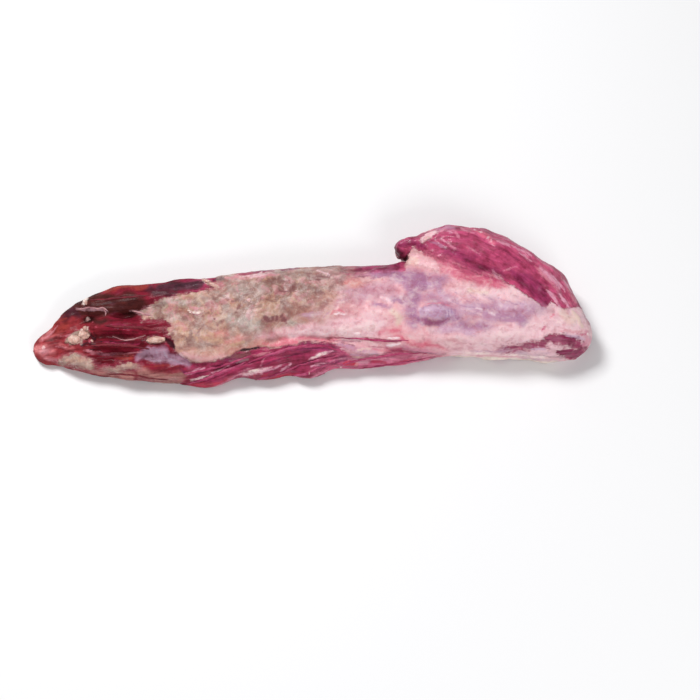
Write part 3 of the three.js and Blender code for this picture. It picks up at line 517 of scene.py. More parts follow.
        [(451.5, 310, 0.5), (452.5, 317.5, 0.6)], [(455, 311, 0.5), (455.5, 316, 0.5)]),
    # Painted highlights on the skin of the head.
    ("glint", 0.5, 0.2, [(476, 309, 0.4), (483, 311, 0.8)], [(489, 313, 0.6), (495, 314.5, 0.8)],
        [(500, 309, 0.5)], [(433, 304, 0.4), (441, 305.5, 0.4)]),
    ("hot pink", 0.6, 0.1, [(428, 304.5, 0.6), (440, 304, 0.8), (449, 306.5, 0.6)]),
    ("lilac", 0.75, -0.2, [(502, 320, 0.9), (512, 320, 1.9), (522, 318.5, 1.2)]),
    ("skin dark", 0.6, -0.2, [(455, 293, 0.4), (462, 299, 0.7), (470, 303, 0.4)],
        [(466, 290, 0.4), (472, 296, 0.6), (480, 301, 0.4)],
        [(480, 291, 0.4), (487, 297, 0.6), (494, 301, 0.4)],
        [(452, 302, 0.5), (462, 306, 0.7), (474, 308, 0.4)],
        [(498, 298, 0.4), (508, 302, 0.6), (520, 305, 0.4)]),
    ("pale pink", 0.7, 0.2, [(450, 291, 0.5), (458, 297, 0.8), (466, 301, 0.5)],
        [(472, 288, 0.5), (480, 296, 0.8), (490, 302, 0.5)],
        [(500, 290, 0.5), (510, 297, 0.8), (524, 303, 0.5)],
        [(462, 309.5, 0.5), (474, 312, 0.8), (482, 315, 0.5)]),
    ("border crimson", 0.9, -0.2, [(542, 330, 0.9), (545, 326.5, 1.2)]),
    ("hot pink", 0.75, 0, [(560, 331.5, 0.6), (567, 330.6, 1.3), (574, 331.6, 0.9)],
        [(549, 318, 0.5), (553, 316, 1.1)]),
    ("border crimson", 0.85, -0.2, [(576, 333.6, 0.6), (581, 335.2, 1.3), (586, 334.6, 1.2)]),
    ("rose", 0.8, -0.1, [(563, 331, 1), (572, 331.5, 1.5), (580, 332, 0.9)],
        [(447, 339.5, 0.9), (452, 339.5, 1.5), (457, 339.5, 0.9)]),
    ("pale pink", 0.8, 0.2, [(530, 352, 0.9), (540, 350.5, 1.8), (550, 350, 1.4)],
        [(551, 354, 0.9), (558, 356, 1.6), (565, 358.5, 1.2)],
        [(551, 347, 0.6), (560, 348, 0.9), (568, 349, 0.6)]),
    ("skin bright", 0.8, 0.1, [(566, 335.5, 0.9), (574, 336.5, 1.7), (583, 339.5, 1.4)],
        [(532, 349, 0.7), (545, 348, 0.7)]),
    ("pink edge", 0.85, 0.1, [(583, 345, 1.3), (588, 340, 2.2)]),
    # A painted highlight at the blunt end.
    ("glint", 0.9, 0.2, [(587, 334.5, 1.1)]),
    ("cream", 0.8, 0.7, [(572, 312, 1.2), (577, 319, 2.4), (581, 327, 1.6)]),
    ("lilac", 0.7, -0.2, [(470, 350.5, 0.5), (490, 350, 1), (506, 350.5, 0.6)],
        [(520, 357, 0.4), (545, 359, 0.8), (560, 359.5, 0.5)]),
    ("rose", 0.7, -0.2, [(404, 352.5, 0.6), (425, 354.5, 1.1), (448, 355, 0.6)],
        [(470, 354.2, 0.4), (500, 355.4, 0.7), (520, 355.4, 0.4)]),
    ("seam", 0.5, -0.3, [(410, 350.5, 0.4), (430, 352.6, 0.7), (446, 353, 0.4)],
        [(536, 354.5, 0.4), (552, 356.5, 0.7), (566, 357, 0.4)]),
    ("white fat", 0.8, 0.3, [(452, 357.2, 0.6), (480, 358, 0.9), (515, 358.6, 0.7)],
        [(505, 353.4, 0.5), (525, 354.6, 0.8), (545, 357, 0.5)],
        [(460, 353, 0.4), (475, 352.6, 0.7), (490, 353, 0.4)]),
]

# The fibres of each muscle follow a guide line across the plan, inside the muscle's own area.
MAIN_GUIDE = [(-60, 360), (34, 352), (90, 338), (160, 330), (250, 320), (400, 305), (600, 335)]
STRAP_GUIDE = [
    (60, 386), (150, 386), (200, 376), (250, 358), (300, 348), (345, 350), (400, 352), (480, 358),
    (620, 365),
]
WING_GUIDE = [
    (330, 262), (392, 247), (430, 238), (470, 241), (510, 262), (545, 290), (575, 325), (592, 356),
    (610, 400),
]
STRAP_AREA = [
    (100, 378), (150, 372), (182, 364), (225, 361), (259, 349), (299, 344), (335, 344), (370, 342),
    (430, 350), (470, 353), (470, 420), (100, 420),
]
WING_AREA = [
    (380, 200), (380, 262), (404, 257), (413, 247), (431, 255), (456, 265), (481, 275), (508, 283),
    (538, 303), (562, 309), (578, 307), (640, 330), (640, 200),
]

# The swelling under the skin: its middle, its half length and half width.
SWELLING = (437, 312, 19, 9.5)

# The web joins the wing, the swelling the head, and the strap the fat, without a crease here.
SMOOTH_JOINS = [
    [(412, 252, 5), (430, 258, 8), (455, 268, 8), (480, 277, 7), (505, 285, 5)],
    [(424, 312, 10), (448, 312, 10)], [(334, 341, 3), (350, 344, 5), (374, 346, 6), (420, 350, 6)],
]


def between(values, t):
    """A smooth curve through all the values, where t runs from 0 to 1."""
    last = len(values) - 1
    i = min(int(t * last), last - 1)
    f = t * last - i
    p0, p1, p2, p3 = (values[min(max(i + k, 0), last)] for k in (-1, 0, 1, 2))
    return 0.5 * (2 * p1 + (p2 - p0) * f + (2 * p0 - 5 * p1 + 4 * p2 - p3) * f * f
                  + (3 * p1 - p0 - 3 * p2 + p3) * f**3)


def along_guide(guide, x, y, pieces=60):
    """Millimetres along the guide line, smoothly bent, and across it, for points of the plan."""
    guide = [tuple(between([p[k] for p in guide], n / pieces) for k in (0, 1)) for n in range(pieces + 1)]
    near = np.full(x.shape, np.inf)
    along = np.zeros(x.shape)
    across = np.zeros(x.shape)
    run = 0.0
    for (x0, y0), (x1, y1) in zip(guide, guide[1:]):
        length = math.hypot(x1 - x0, y1 - y0)
        t, away = from_line(x, y, (x0, y0), (x1, y1))
        side = np.sign((x - x0) * (y1 - y0) - (y - y0) * (x1 - x0))
        closer = away < near
        near = np.where(closer, away, near)
        along = np.where(closer, run + t * length, along)
        across = np.where(closer, away * side, across)
        run += length
    return along, across


def vertex_rows(mesh, what):
    """The places ("co") or the facings ("normal") of a mesh's vertices, as rows of three."""
    values = np.empty(len(mesh.vertices) * 3)
    mesh.vertices.foreach_get(what, values)
    return values.reshape(-1, 3)


def edge_ends(mesh):
    """The first and the last vertex of every edge."""
    ends = np.empty(len(mesh.edges) * 2, int)
    mesh.edges.foreach_get("vertices", ends)
    return ends.reshape(-1, 2).T


def ease(mesh, rounds, keep_creases=True, where=1.0):
    """Smooths flat facets away, and leaves the creases between muscles if it has to."""
    count = len(mesh.vertices)
    place = vertex_rows(mesh, "co")
    a, b = edge_ends(mesh)
    for _ in range(rounds):
        turned = vertex_rows(mesh, "normal")
        turn = np.linalg.norm(turned[a] - turned[b], axis=1)
        pull = np.exp(-((turn / CREASE_ANGLE) ** 2)) if keep_creases else np.ones(len(a))
        total = np.bincount(a, pull, count) + np.bincount(b, pull, count)
        step = (place[b] - place[a]) * pull[:, None]
        move = np.stack([np.bincount(a, step[:, k], count) - np.bincount(b, step[:, k], count)
                         for k in range(3)], 1)
        place = place + (EASE_PACE * where / np.maximum(total, 1e-6))[:, None] * move
        mesh.vertices.foreach_set("co", place.ravel())
        mesh.update()
    return place


def hollows(mesh, place, turned, rounds):
    """How deep each vertex lies below its wider surroundings, in millimetres."""
    a, b = edge_ends(mesh)
    count = len(place)
    links = np.bincount(a, minlength=count) + np.bincount(b, minlength=count)
    wide = place.copy()
    for _ in range(rounds):
        wide = np.stack([(np.bincount(a, wide[b, k], count) + np.bincount(b, wide[a, k], count)) / links
                         for k in range(3)], 1)
    return 1000 * ((wide - place) * turned).sum(1)


def mesh_of(build, name):
    """A smooth mesh from a finished bmesh."""
    for face in build.faces:
        face.smooth = True
    mesh = bpy.data.meshes.new(name)
    build.to_mesh(mesh)
    build.free()
    return mesh


def placed(name, data):
    """An object at the origin, in the scene."""
    made = bpy.data.objects.new(name, data)
    bpy.context.scene.collection.objects.link(made)
    return made


def finished_mesh(held):
    """The mesh of an object with its modifiers or its bevel done."""
    return bpy.data.meshes.new_from_object(held.evaluated_get(bpy.context.evaluated_depsgraph_get()))


build = bmesh.new()
build.from_mesh(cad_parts["tenderloin"].data)
bmesh.ops.remove_doubles(build, verts=build.verts, dist=1e-6)
meat = placed("meat", mesh_of(build, "meat"))
remesh = meat.modifiers.new("fine", "REMESH")
remesh.mode = "VOXEL"
remesh.voxel_size = VOXEL
fine = finished_mesh(meat)
meat.modifiers.clear()
meat.data = fine
place = ease(fine, EASE_ROUNDS)
join = share(within_strokes(SMOOTH_JOINS, *on_plan(place)), 3)
place = ease(fine, JOIN_ROUNDS, keep_creases=False, where=join)

# Where each vertex lies on the plan, with the borders of the tissues made uneven.
# Where the meat turns away from the plan's eye, the tissues spill over in their own way.
turned = vertex_rows(fine, "normal")
away = share(0.05 - turned @ PLAN_BACK, 0.4, 0)
plan_x, plan_y = on_plan(place)
shift_x = wavy(place, 0.011, 2.4, 3) + wavy(place, 0.004, 1.0, 5) + away * wavy(place, 0.035, 30, 7)
shift_y = wavy(place, 0.011, 2.0, 9) + wavy(place, 0.004, 0.9, 11) + away * wavy(place, 0.03, 26, 13)
x, y = plan_x + shift_x, plan_y + shift_y
mark_x, mark_y = plan_x + 0.5 * shift_x, plan_y + 0.5 * shift_y
wash_x = x + wavy(place, 0.024, 8, 51)
wash_y = y + wavy(place, 0.018, 6, 53)

fat = within_outline(FAT_COVER, x, y)
fat = np.minimum(fat, -within_strokes(BARE_SPOTS, x, y))
fat = np.maximum(fat, within_strokes(FAT_PATCHES, x, y))
soft = share(within_strokes(SOFT_BORDERS, x, y), 4)
fat = fat / (1 + 3 * soft)
fat = fat + away * (wavy(place, 0.022, 26, 17, (2.4, 1, 1)) + wavy(place, 0.008, 8, 19, (2, 1, 1)) - 7)
hole = within_strokes(SHADED_HOLES, x, y)

MEAT_AXIS = 312               # the middle line of the meat on the plan, where colours don't slant
BROAD_WASH = 4                # washes that fade over more than this drift with the broad waves


def tint(code):
    """A tissue's colour, or one written as RRGGBB, for a shader."""
    code = TISSUE.get(code, code)
    parts = [int(code[k:k + 2], 16) / 255 for k in (0, 2, 4)]
    return tuple(p / 12.92 if p <= 0.04045 else ((p + 0.055) / 1.055) ** 2.4 for p in parts) + (1,)


def washed(along, washes, cover_at_first=1, slant=0.0):
    """The colour of each vertex: colours along the meat, with washes laid over them. Its fourth
    value is how much of the meat they cover there."""
    stops = [stop for stop, _ in along]
    run = wash_x + wash_y - y + slant * (wash_y - MEAT_AXIS)
    colour = np.stack([np.interp(run, stops, [tint(c)[k] for _, c in along]) for k in range(4)], 1)
    colour[:, 3] = cover_at_first
    for tissue, strength, fade, *strokes in washes:
        broad = fade > BROAD_WASH
        inside = within_strokes(strokes, wash_x if broad else x, wash_y if broad else y)
        cover = share(inside, fade, 0.6)[:, None] * strength
        if strength < 1:
            cover = eased(cover)
        colour = colour + (np.array(tint(tissue)) - colour) * cover
    return colour


# Later marks lie over earlier ones, except where both have run out.
marked = np.full(len(place), FAR_OUTSIDE)
mark_tint = np.zeros((len(place), 4))
mark_rise = np.zeros(len(place))
for tissue, strength, rise, *strokes in MARKS:
    inside = within_strokes(strokes, mark_x, mark_y)
    over = inside > np.minimum(marked, -0.5)
    marked = np.maximum(marked, inside)
    mark_tint[over] = tint(tissue)[:3] + (strength,)
    mark_rise[over] = rise
marked = marked - 4 * np.clip(3 * away - 0.6, 0, 1)

skin_tint = washed([(0, "skin")], SKIN_WASHES, 0)
tints = {"lean_tint": washed(LEAN_ALONG, LEAN_WASHES),
         "fat_tint": washed(FAT_ALONG, FAT_WASHES, slant=0.7),
         "skin_tint": skin_tint, "mark_tint": mark_tint}

main_along, main_across = along_guide(MAIN_GUIDE, plan_x, plan_y)
strap_along, strap_across = along_guide(STRAP_GUIDE, plan_x, plan_y)
wing_along, wing_across = along_guide(WING_GUIDE, plan_x, plan_y)
on_strap = within_outline(STRAP_AREA, plan_x, plan_y) > 0
on_wing = within_outline(WING_AREA, plan_x, plan_y) > 0
# Fibres look shorter on the wing and the main muscle than on the stringy strap.
along = np.where(on_strap, strap_along, np.where(on_wing, wing_along * 2.2, main_along * 1.3))
across = np.where(on_strap, strap_across, np.where(on_wing, wing_across, main_across))
grain = np.stack([along, across, place[:, 2] * 1000 * 0.8], 1)

# The relief, in millimetres: the fat stands proud, the lean is drawn out in bundles, and creases
# and holes sink in. It fades out just above the board.
FAT_RISE = 1.1
LOBE_RISE = 0.6
SWELL_RISE = 0.7
HOLE_DEPTH = 1.4
CREASE_DEPTH = 0.8
SWELLING_RISE = 2.6
BOARD_CLEARANCE = 0.003       # metres

hollow = hollows(fine, place, turned, HOLLOW_ROUNDS) * (1 - join)
on_fat = eased(share(fat, 2))
lobes = wavy(place, 0.0075, 1.0, 21) + 0.6 * wavy(place, 0.0035, 1.0, 23)
bundles = wavy(grain, 1.0, 1.0, 31, (30, 3.6, 3.6)) + 0.5 * wavy(grain, 1.0, 1.0, 37, (16, 1.9, 1.9))
drawn_out = np.interp(plan_x, [60, 200], [0.6, 0.95])
on_skin = skin_tint[:, 3]
height = on_fat * (FAT_RISE + LOBE_RISE * lobes * (1 - 0.7 * on_skin)) + (1 - on_fat) * drawn_out * bundles
height = height + SWELL_RISE * wavy(place, 0.022, 1.0, 41)
height = height - HOLE_DEPTH * share(hole, 1.5) - CREASE_DEPTH * np.clip(hollow, 0, 1.5)
height = height + mark_rise * share(marked, 1.2)
middle_x, middle_y, half_long, half_wide = SWELLING
dome = 1 - ((plan_x - middle_x) / half_long) ** 2 - ((plan_y - middle_y) / half_wide) ** 2
dome = np.clip(dome, 0, 1)
height = height * (1 - 0.5 * dome) + SWELLING_RISE * dome
above_board = np.clip(place[:, 2] / BOARD_CLEARANCE, 0, 1)
place = place + turned * (height * above_board)[:, None] * 0.001
place[:, 2] = np.maximum(place[:, 2], 0)
fine.vertices.foreach_set("co", place.ravel())
fine.update()
for polygon in fine.polygons:
    polygon.use_smooth = True


def keep(name, kind, part, values):
    """Writes one value for every vertex of the meat, for its finish to read."""
    fine.attributes.new(name, kind, "POINT").data.foreach_set(part, values.astype(np.float32).ravel())


# Each field is how many millimetres a vertex lies inside a tissue or below its surroundings, or a
# share from 0 to 1.
fields = {"fat": fat, "film": within_strokes(PALE_FILM, x, y), "hole": hole, "mark": marked,
          "hollow": hollow, "soft": soft, "aged": share(within_outline(OLD_FAT, wash_x, wash_y), 36, 0.45)}
for name, values in fields.items():
    keep(name, "FLOAT", "value", values)
for name, values in tints.items():
    keep(name, "FLOAT_COLOR", "color", values)
keep("grain", "FLOAT_VECTOR", "vector", grain)


class Finish:
    """The nodes of one material, and short ways to add them and wire them up."""

    def __init__(self, name):
        self.material = bpy.data.materials.new(name)
        self.material.use_nodes = True
        self.tree = self.material.node_tree
        self.shader = self.tree.nodes["Principled BSDF"]

    def give(self, socket, value):
        if isinstance(value, bpy.types.NodeSocket):
            self.tree.links.new(value, socket)
        else:
            socket.default_value = value

    def put(self, **values):
        """Sets the shader's own sockets; an underscore stands for a space."""
        for key, value in values.items():
            self.give(self.shader.inputs[key.replace("_", " ")], value)

    def add(self, kind, inputs, output=0, **settings):
        made = self.tree.nodes.new("ShaderNode" + kind)
        for key, value in settings.items():
            setattr(made, key, value)
        for key, value in inputs.items():
            self.give(made.inputs[key], value)
        return made.outputs[output]

    def times(self, a, b):
        return self.add("Math", {0: a, 1: b}, operation="MULTIPLY")

    def line(self, value, slope, start):
        """The value, times a slope, plus a start."""
        return self.add("Math", {0: value, 1: slope, 2: start}, operation="MULTIPLY_ADD")

    def uneven(self, value, pattern, reach):
        """A value moved up and down by a pattern."""
        return self.line(self.line(pattern, 1.0, -0.5), reach, value)

    def kept(self, name, output="Fac"):
        return self.add("Attribute", {}, output, attribute_name=name)

    def place_of(self):
        return self.add("TexCoord", {}, "Object")

    def cloudy(self, vector, scale, detail=3.0, rough=0.55, warp=0.0):
        """Noise of one scale, or one that is stretched by three scales."""
        if isinstance(scale, tuple):
            vector = self.add("Mapping", {"Vector": vector, "Scale": scale})
            scale = 1.0
        return self.add("TexNoise", {"Vector": vector, "Scale": scale, "Detail": detail,
                                     "Roughness": rough, "Distortion": warp}, "Fac")

    def ramp(self, value, low, high):
        return self.add("MapRange", {"Value": value, "From Min": low, "From Max": high},
                        interpolation_type="SMOOTHSTEP")

    def blend(self, amount, first, second, how="MIX"):
        made = self.tree.nodes.new("ShaderNodeMix")
        made.data_type = "RGBA"
        made.blend_type = how
        self.give(made.inputs[0], amount)
        self.give(made.inputs[6], first)
        self.give(made.inputs[7], second)
        return made.outputs[2]

    def shaded(self, colour, pattern, low, high, strength, shade):
        """The colour, multiplied by a shade where the pattern goes from low to high."""
        return self.blend(self.times(self.ramp(pattern, low, high), strength), colour, (*shade, 1),
                          "MULTIPLY")

    def tinted(self, colour, pattern, low, high, strength, tissue):
        """The colour, with some of a tissue's where the pattern goes from low to high."""
        return self.blend(self.times(self.ramp(pattern, low, high), strength), colour, tint(tissue))

    def flesh(self, weight, radius, depth):
        """Lets light some way into the flesh."""
        self.put(Subsurface_Weight=weight, Subsurface_Radius=radius, Subsurface_Scale=depth)

    def bump(self, height, strength, distance):
        self.put(Normal=self.add("Bump", {"Height": height, "Strength": strength, "Distance": distance}))


def raw_beef():
    """Lean, fat and silverskin in one finish: the meat's fields say which lies where."""
    f = Finish("raw_beef")
    place = f.place_of()
    grain = f.kept("grain", "Vector")
    ragged = f.cloudy(place, 260, 5, 0.65)
    coarse = f.cloudy(place, 90, 4, 0.6)
    fibre = f.cloudy(grain, (0.045, 0.75, 0.75), 4, 0.6, 0.6)
    bundle = f.cloudy(grain, (0.018, 0.22, 0.22), 3, 0.5, 0.8)
    mottle = f.cloudy(grain, (0.045, 0.10, 0.10), 5, 0.62, 0.7)
    lobe = f.cloudy(place, 170, 5, 0.6, 0.3)
    patch = f.cloudy(place, 130, 4, 0.6, 0.6)
    cloud = f.cloudy(place, 34, 3, 0.5)

    def mask(name, low, high, reach, pattern):
        return f.ramp(f.uneven(f.kept(name), pattern, reach), low, high)

    streaky = f.line(fibre, 0.5, f.times(ragged, 0.5))
    ragged_by = f.line(f.kept("soft"), -8.0, 14.0)
    fat = mask("fat", -0.9, 0.9, ragged_by, streaky)
    thin = mask("fat", -2.6, 0.6, ragged_by, streaky)
    film = mask("film", -1.6, 2.0, 12.0, streaky)
    hole = mask("hole", -1.2, 1.0, 4.0, ragged)
    mark = mask("mark", -0.9, 0.9, 7.0, streaky)
    silver = f.uneven(f.uneven(f.kept("skin_tint", "Alpha"), mottle, 1.3), coarse, 0.8)
    silver = f.ramp(silver, 0.1, 1.0)
    silver_tint = f.kept("skin_tint", "Color")

    lean = f.kept("lean_tint", "Color")
    for pattern, low, high, strength, shade in (
            (bundle, 0.52, 0.36, 0.5, (0.55, 0.4, 0.42)), (bundle, 0.52, 0.68, 0.4, (1.5, 1.6, 1.6)),
            (fibre, 0.46, 0.32, 0.4, (0.4, 0.25, 0.3)),
            (lobe, 0.5, 0.66, 0.35, (1.45, 1.4, 1.45)), (lobe, 0.46, 0.32, 0.35, (0.55, 0.45, 0.5))):
        lean = f.shaded(lean, pattern, low, high, strength, shade)
    streak = f.times(f.ramp(fibre, 0.54, 0.70), f.ramp(cloud, 0.40, 0.60))
    lean = f.blend(f.times(streak, 0.4), lean, (1.8, 1.9, 1.9, 1), "MULTIPLY")
    lean = f.blend(f.times(thin, 0.3), lean, tint("thin fat"))
    lean = f.blend(f.times(silver, 0.75), lean, silver_tint)
    lean = f.shaded(lean, coarse, 0.5, 0.36, 0.5, (0.6, 0.42, 0.5))
    lean = f.shaded(lean, coarse, 0.52, 0.68, 0.45, (1.45, 1.4, 1.35))

    white = f.kept("fat_tint", "Color")
    for size, low, high, strength, tissue in (
            (48, 0.51, 0.60, 0.55, "warm tan"), (48, 0.49, 0.40, 0.5, "cold grey"),
            (90, 0.53, 0.62, 0.4, "rose"), (90, 0.47, 0.38, 0.5, "khaki brown"),
            (190, 0.54, 0.68, 0.25, "cream"), (190, 0.46, 0.34, 0.3, "brown spot")):
        spots = f.ramp(f.cloudy(place, size, 4, 0.55, 0.8), low, high)
        white = f.blend(f.times(f.times(spots, f.kept("aged")), strength), white, tint(tissue))
    white = f.blend(f.times(silver, 0.85), white, silver_tint)
    for pattern, dark, shade, light in (
            (mottle, (0.50, 0.34, 0.5), (0.76, 0.56, 0.6), (0.50, 0.66, 0.22)),
            (patch, (0.48, 0.36, 0.45), (0.87, 0.62, 0.66), (0.52, 0.66, 0.16)),
            (lobe, (0.46, 0.32, 0.3), (0.66, 0.46, 0.48), (0.54, 0.70, 0.12))):
        white = f.shaded(white, pattern, *dark, shade)
        white = f.tinted(white, pattern, *light, "white fat")

    colour = f.blend(fat, lean, white)
    colour = f.blend(f.times(film, f.line(fibre, 0.8, 0.15)), colour, tint("pale film"))
    worn = f.line(f.ramp(lobe, 0.34, 0.52), 0.5, 0.5)
    cover = f.times(f.times(mark, f.kept("mark_tint", "Alpha")), worn)
    colour = f.blend(cover, colour, f.kept("mark_tint", "Color"))
    colour = f.shaded(colour, coarse, 0.48, 0.36, 0.35, (0.82, 0.66, 0.7))
    colour = f.shaded(colour, lobe, 0.48, 0.34, 0.25, (0.75, 0.6, 0.62))
    # Painted light: the fat is lighter on its ridges.
    colour = f.tinted(colour, f.kept("hollow"), -0.1, -0.9, f.times(fat, 0.15), "ridge light")
    # Painted shade, with some gathered blood: the colour is darker in the hollows.
    colour = f.shaded(colour, f.kept("hollow"), 0.15, 1.3, 0.75, tint("crease")[:3])
    # Painted shade: the gaps are nearly black.
    colour = f.blend(f.times(hole, 0.9), colour, tint("gap shade"))

    dry = f.ramp(f.add("SeparateXYZ", {"Vector": place}), -0.06, -0.17)
    wet = f.times(f.line(dry, -0.1, 0.14), f.line(fat, -0.5, 1.0))
    f.put(Base_Color=colour, Roughness=f.line(dry, 0.22, f.line(lobe, 0.45, 0.2)),
          Specular_IOR_Level=f.line(dry, -0.12, 0.2), Coat_Weight=wet, Coat_Roughness=0.15)
    f.flesh(0.12, (1.0, 0.35, 0.25), 0.0025)
    fibrous = f.times(f.line(fat, -0.4, 0.4), fibre)
    f.bump(f.line(fat, f.line(lobe, 0.5, 0.4), fibrous), 0.7, 0.0014)
    return f.material


meat.data.materials.clear()
meat.data.materials.append(raw_beef())
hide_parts("tenderloin")
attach(meat, "root")


# THE SINEWS
# Thin cords of sinew and curled shreds of silverskin on the bare tail, and one pale curl on the
# old fat. They were left where the knife lifted the skin off, and cling to the meat.

SINEWS = [
    [(76, 309, 0.3), (84, 308.5, 0.9), (90, 307, 0.5), (97, 308.5, 0.8), (103, 308, 1),
     (108, 310.5, 0.4)], [(103, 309, 0.4), (106, 312.5, 0.8), (105, 316, 0.3)],
    [(131, 311, 0.3), (139, 312, 0.9), (146, 315, 0.6), (154, 316, 0.3)],
    [(112, 336, 0.2), (121, 339.5, 0.5), (130, 340, 0.7), (138, 338, 0.4), (146, 335, 0.3)],
    [(190, 310.5, 0.2), (192.5, 313.5, 0.5), (198, 315, 0.6), (203, 312, 0.3)],
]
CORD_STEP = 1.3               # millimetres between the points of a cord
CORD_UNIT = 0.001             # a cord's half widths are written in millimetres
THINNEST_CORD = 0.15          # half width

meat_tree = BVHTree.FromPolygons([Vector(p) for p in place], [tuple(p.vertices) for p in fine.polygons])


def on_meat(x, y):
    """The point of the meat under a point of the plan, and the way its surface faces there."""
    aim = Vector((PLAN_MIDDLE + PLAN_UP * (PLAN_CENTRE - y)) / 1000)
    aim.x += (x - PLAN_CENTRE) / 1000
    hit, facing, _, _ = meat_tree.ray_cast(PLAN_EYE, (aim - PLAN_EYE).normalized())
    if hit is None:
        hit, facing, _, _ = meat_tree.find_nearest(aim + Vector((0, 0, 0.008)))
    return hit, facing


def lay_cords(name, runs, out, seed):
    """Tapered cords that follow runs of (x, y, half width) over the meat, partly sunk in it: their
    middle lies this many half widths out of it."""
    curve = bpy.data.curves.new(name, "CURVE")
    curve.dimensions = "3D"
    curve.bevel_depth = CORD_UNIT
    curve.bevel_resolution = 2
    curve.use_fill_caps = True
    for n, run in enumerate(runs):
        length = sum(math.hypot(b[0] - a[0], b[1] - a[1]) for a, b in zip(run, run[1:]))
        count = max(5, int(length / CORD_STEP))
        path = []
        for k in range(count + 1):
            x, y, half = (between([p[m] for p in run], k / count) for m in range(3))
            sway = noise.noise(Vector((x * 0.22, y * 0.22, seed + n)))
            swell = 1 + 0.35 * noise.noise(Vector((x * 0.5, y * 0.5, seed + n + 50)))
            hit, facing = on_meat(x, y + 0.8 * sway)
            path.append((hit, facing, max(half * swell, THINNEST_CORD)))
        spline = curve.splines.new("POLY")
        spline.points.add(count)
        for k, point in enumerate(spline.points):
            near = path[max(k - 1, 0):k + 2]
            middle = sum((p[0] for p in near), Vector()) / len(near)
            facing = sum((p[1] for p in near), Vector()).normalized()
            half = path[k][2] * (0.25 if k in (0, count) else 1)
            point.co = (*(middle + facing * half * CORD_UNIT * out), 1)
            point.radius = half
    held = placed(name, curve)
    shape = finished_mesh(held)
    bpy.data.objects.remove(held)
    build = bmesh.new()
    build.from_mesh(shape)
    bpy.data.meshes.remove(shape)
    bmesh.ops.remove_doubles(build, verts=build.verts, dist=1e-7)
    bmesh.ops.recalc_face_normals(build, faces=build.faces)
    for v in build.verts:
        v.co.z = max(v.co.z, 0)
    return placed(name, mesh_of(build, name))


def cord_finish(name, first, second, dark, gloss):
    """A streaky finish for cords of one tissue: two tones and a darker thread between them."""
    f = Finish(name)
    place = f.place_of()
    streaks = f.cloudy(place, (70, 420, 420), 4, 0.6)
    colour = f.tinted(tint(first), f.cloudy(place, 120, 4, 0.6), 0.38, 0.62, 1.0, second)
    colour = f.tinted(colour, streaks, 0.47, 0.33, 0.6, dark)
    f.put(Base_Color=colour, Roughness=f.line(streaks, 0.35, gloss), Specular_IOR_Level=0.3)
    f.flesh(0.15, (1.0, 0.45, 0.35), 0.002)
    f.bump(streaks, 0.5, 0.0006)
    return f.material


sinews = lay_cords("sinews", SINEWS, out=-0.4, seed=3)
sinews.data.materials.append(cord_finish("sinew", "A06A72", "C49498", "8A4450", 0.45))
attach(sinews, "root")


# THE LOOSE STRANDS
# Bundles of lean fibre that came partly away from the tail and from the side strap. They are
# the same meat, lying along it, darker where they dried.

STRAP_STRANDS = [
    [(186, 384, 0.8), (205, 379, 1.8), (225, 371, 1.9), (246, 362, 0.8)],
    [(234, 383, 0.6), (262, 378, 1.5), (285, 371, 1.5), (301, 364, 0.6)],
    [(248, 363, 0.6), (275, 353, 1.8), (300, 347, 1.9), (325, 347, 1.4), (346, 353, 0.6)],
    [(288, 376, 0.7), (306, 374, 1.6), (318, 368, 1.4), (336, 362, 0.6)],
    [(298, 366, 0.6), (320, 360, 1.6), (341, 355, 0.7)],
    [(184, 374, 0.6), (205, 370, 1.4), (228, 364, 1.2), (250, 356, 0.6)],
    [(340, 366, 0.6), (355, 361, 1.2), (378, 357, 1.4), (402, 354, 1), (428, 353, 0.5)],
    [(334, 338, 0.3), (350, 338, 0.8), (370, 340, 1.1), (390, 341, 1), (409, 340, 0.4)],
    [(358, 369, 0.5), (385, 365, 1.1), (412, 361, 0.9), (436, 356, 0.5)],
]
TAIL_STRANDS = [
    [(104, 325, 0.8), (120, 327, 1.6), (145, 328, 1.7), (164, 332, 0.8)],
    [(90, 346, 0.7), (108, 345, 1.5), (130, 346, 1.5), (150, 349, 0.7)],
    [(96, 358, 0.6), (112, 357, 1.2), (130, 357, 0.7)],
    [(90, 300, 0.6), (110, 299, 1.2), (130, 297, 1.2), (150, 295, 0.7)],
    [(108, 374, 0.6), (130, 375, 1.2), (150, 378, 1.1), (168, 380, 0.6)],
]

strap_strands = lay_cords("strap_strands", STRAP_STRANDS, out=-0.15, seed=20)
strap_strands.data.materials.append(cord_finish("strap_lean", "9C2A54", "B44A70", "66163A", 0.3))
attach(strap_strands, "root")

tail_strands = lay_cords("tail_strands", TAIL_STRANDS, out=-0.3, seed=40)
tail_strands.data.materials.append(cord_finish("tail_lean", "641422", "7C2430", "340C12", 0.5))
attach(tail_strands, "root")


# THE FAT LUMPS
# Lumps of soft cream fat that stick to the bare tail, and a few along the edges. Each is a
# small lobed ball, pressed into the meat for about half of its height.

# Each has its place on the plan, its half length, half width and height in millimetres, and its
# turn in degrees.
FAT_LUMPS = [
    (75, 340, 6.6, 4.4, 2.4, 12), (84, 335, 5.2, 4.6, 2.8, 20), (85, 328.5, 2.2, 2.6, 1.8, 0),
    (86, 302.5, 1.6, 2.6, 1.4, -15), (92, 341, 1.2, 2.4, 1, -40), (155.5, 340, 9.6, 3.3, 2.2, -4),
    (206, 281, 3.6, 1.6, 1.3, 25), (214, 286, 4.4, 1.3, 1.1, 22), (249, 301, 1.5, 1.3, 0.9, 0),
    (309, 373, 1.3, 1.5, 1.3, 0), (427, 238, 4.4, 2.2, 1, -30),
]


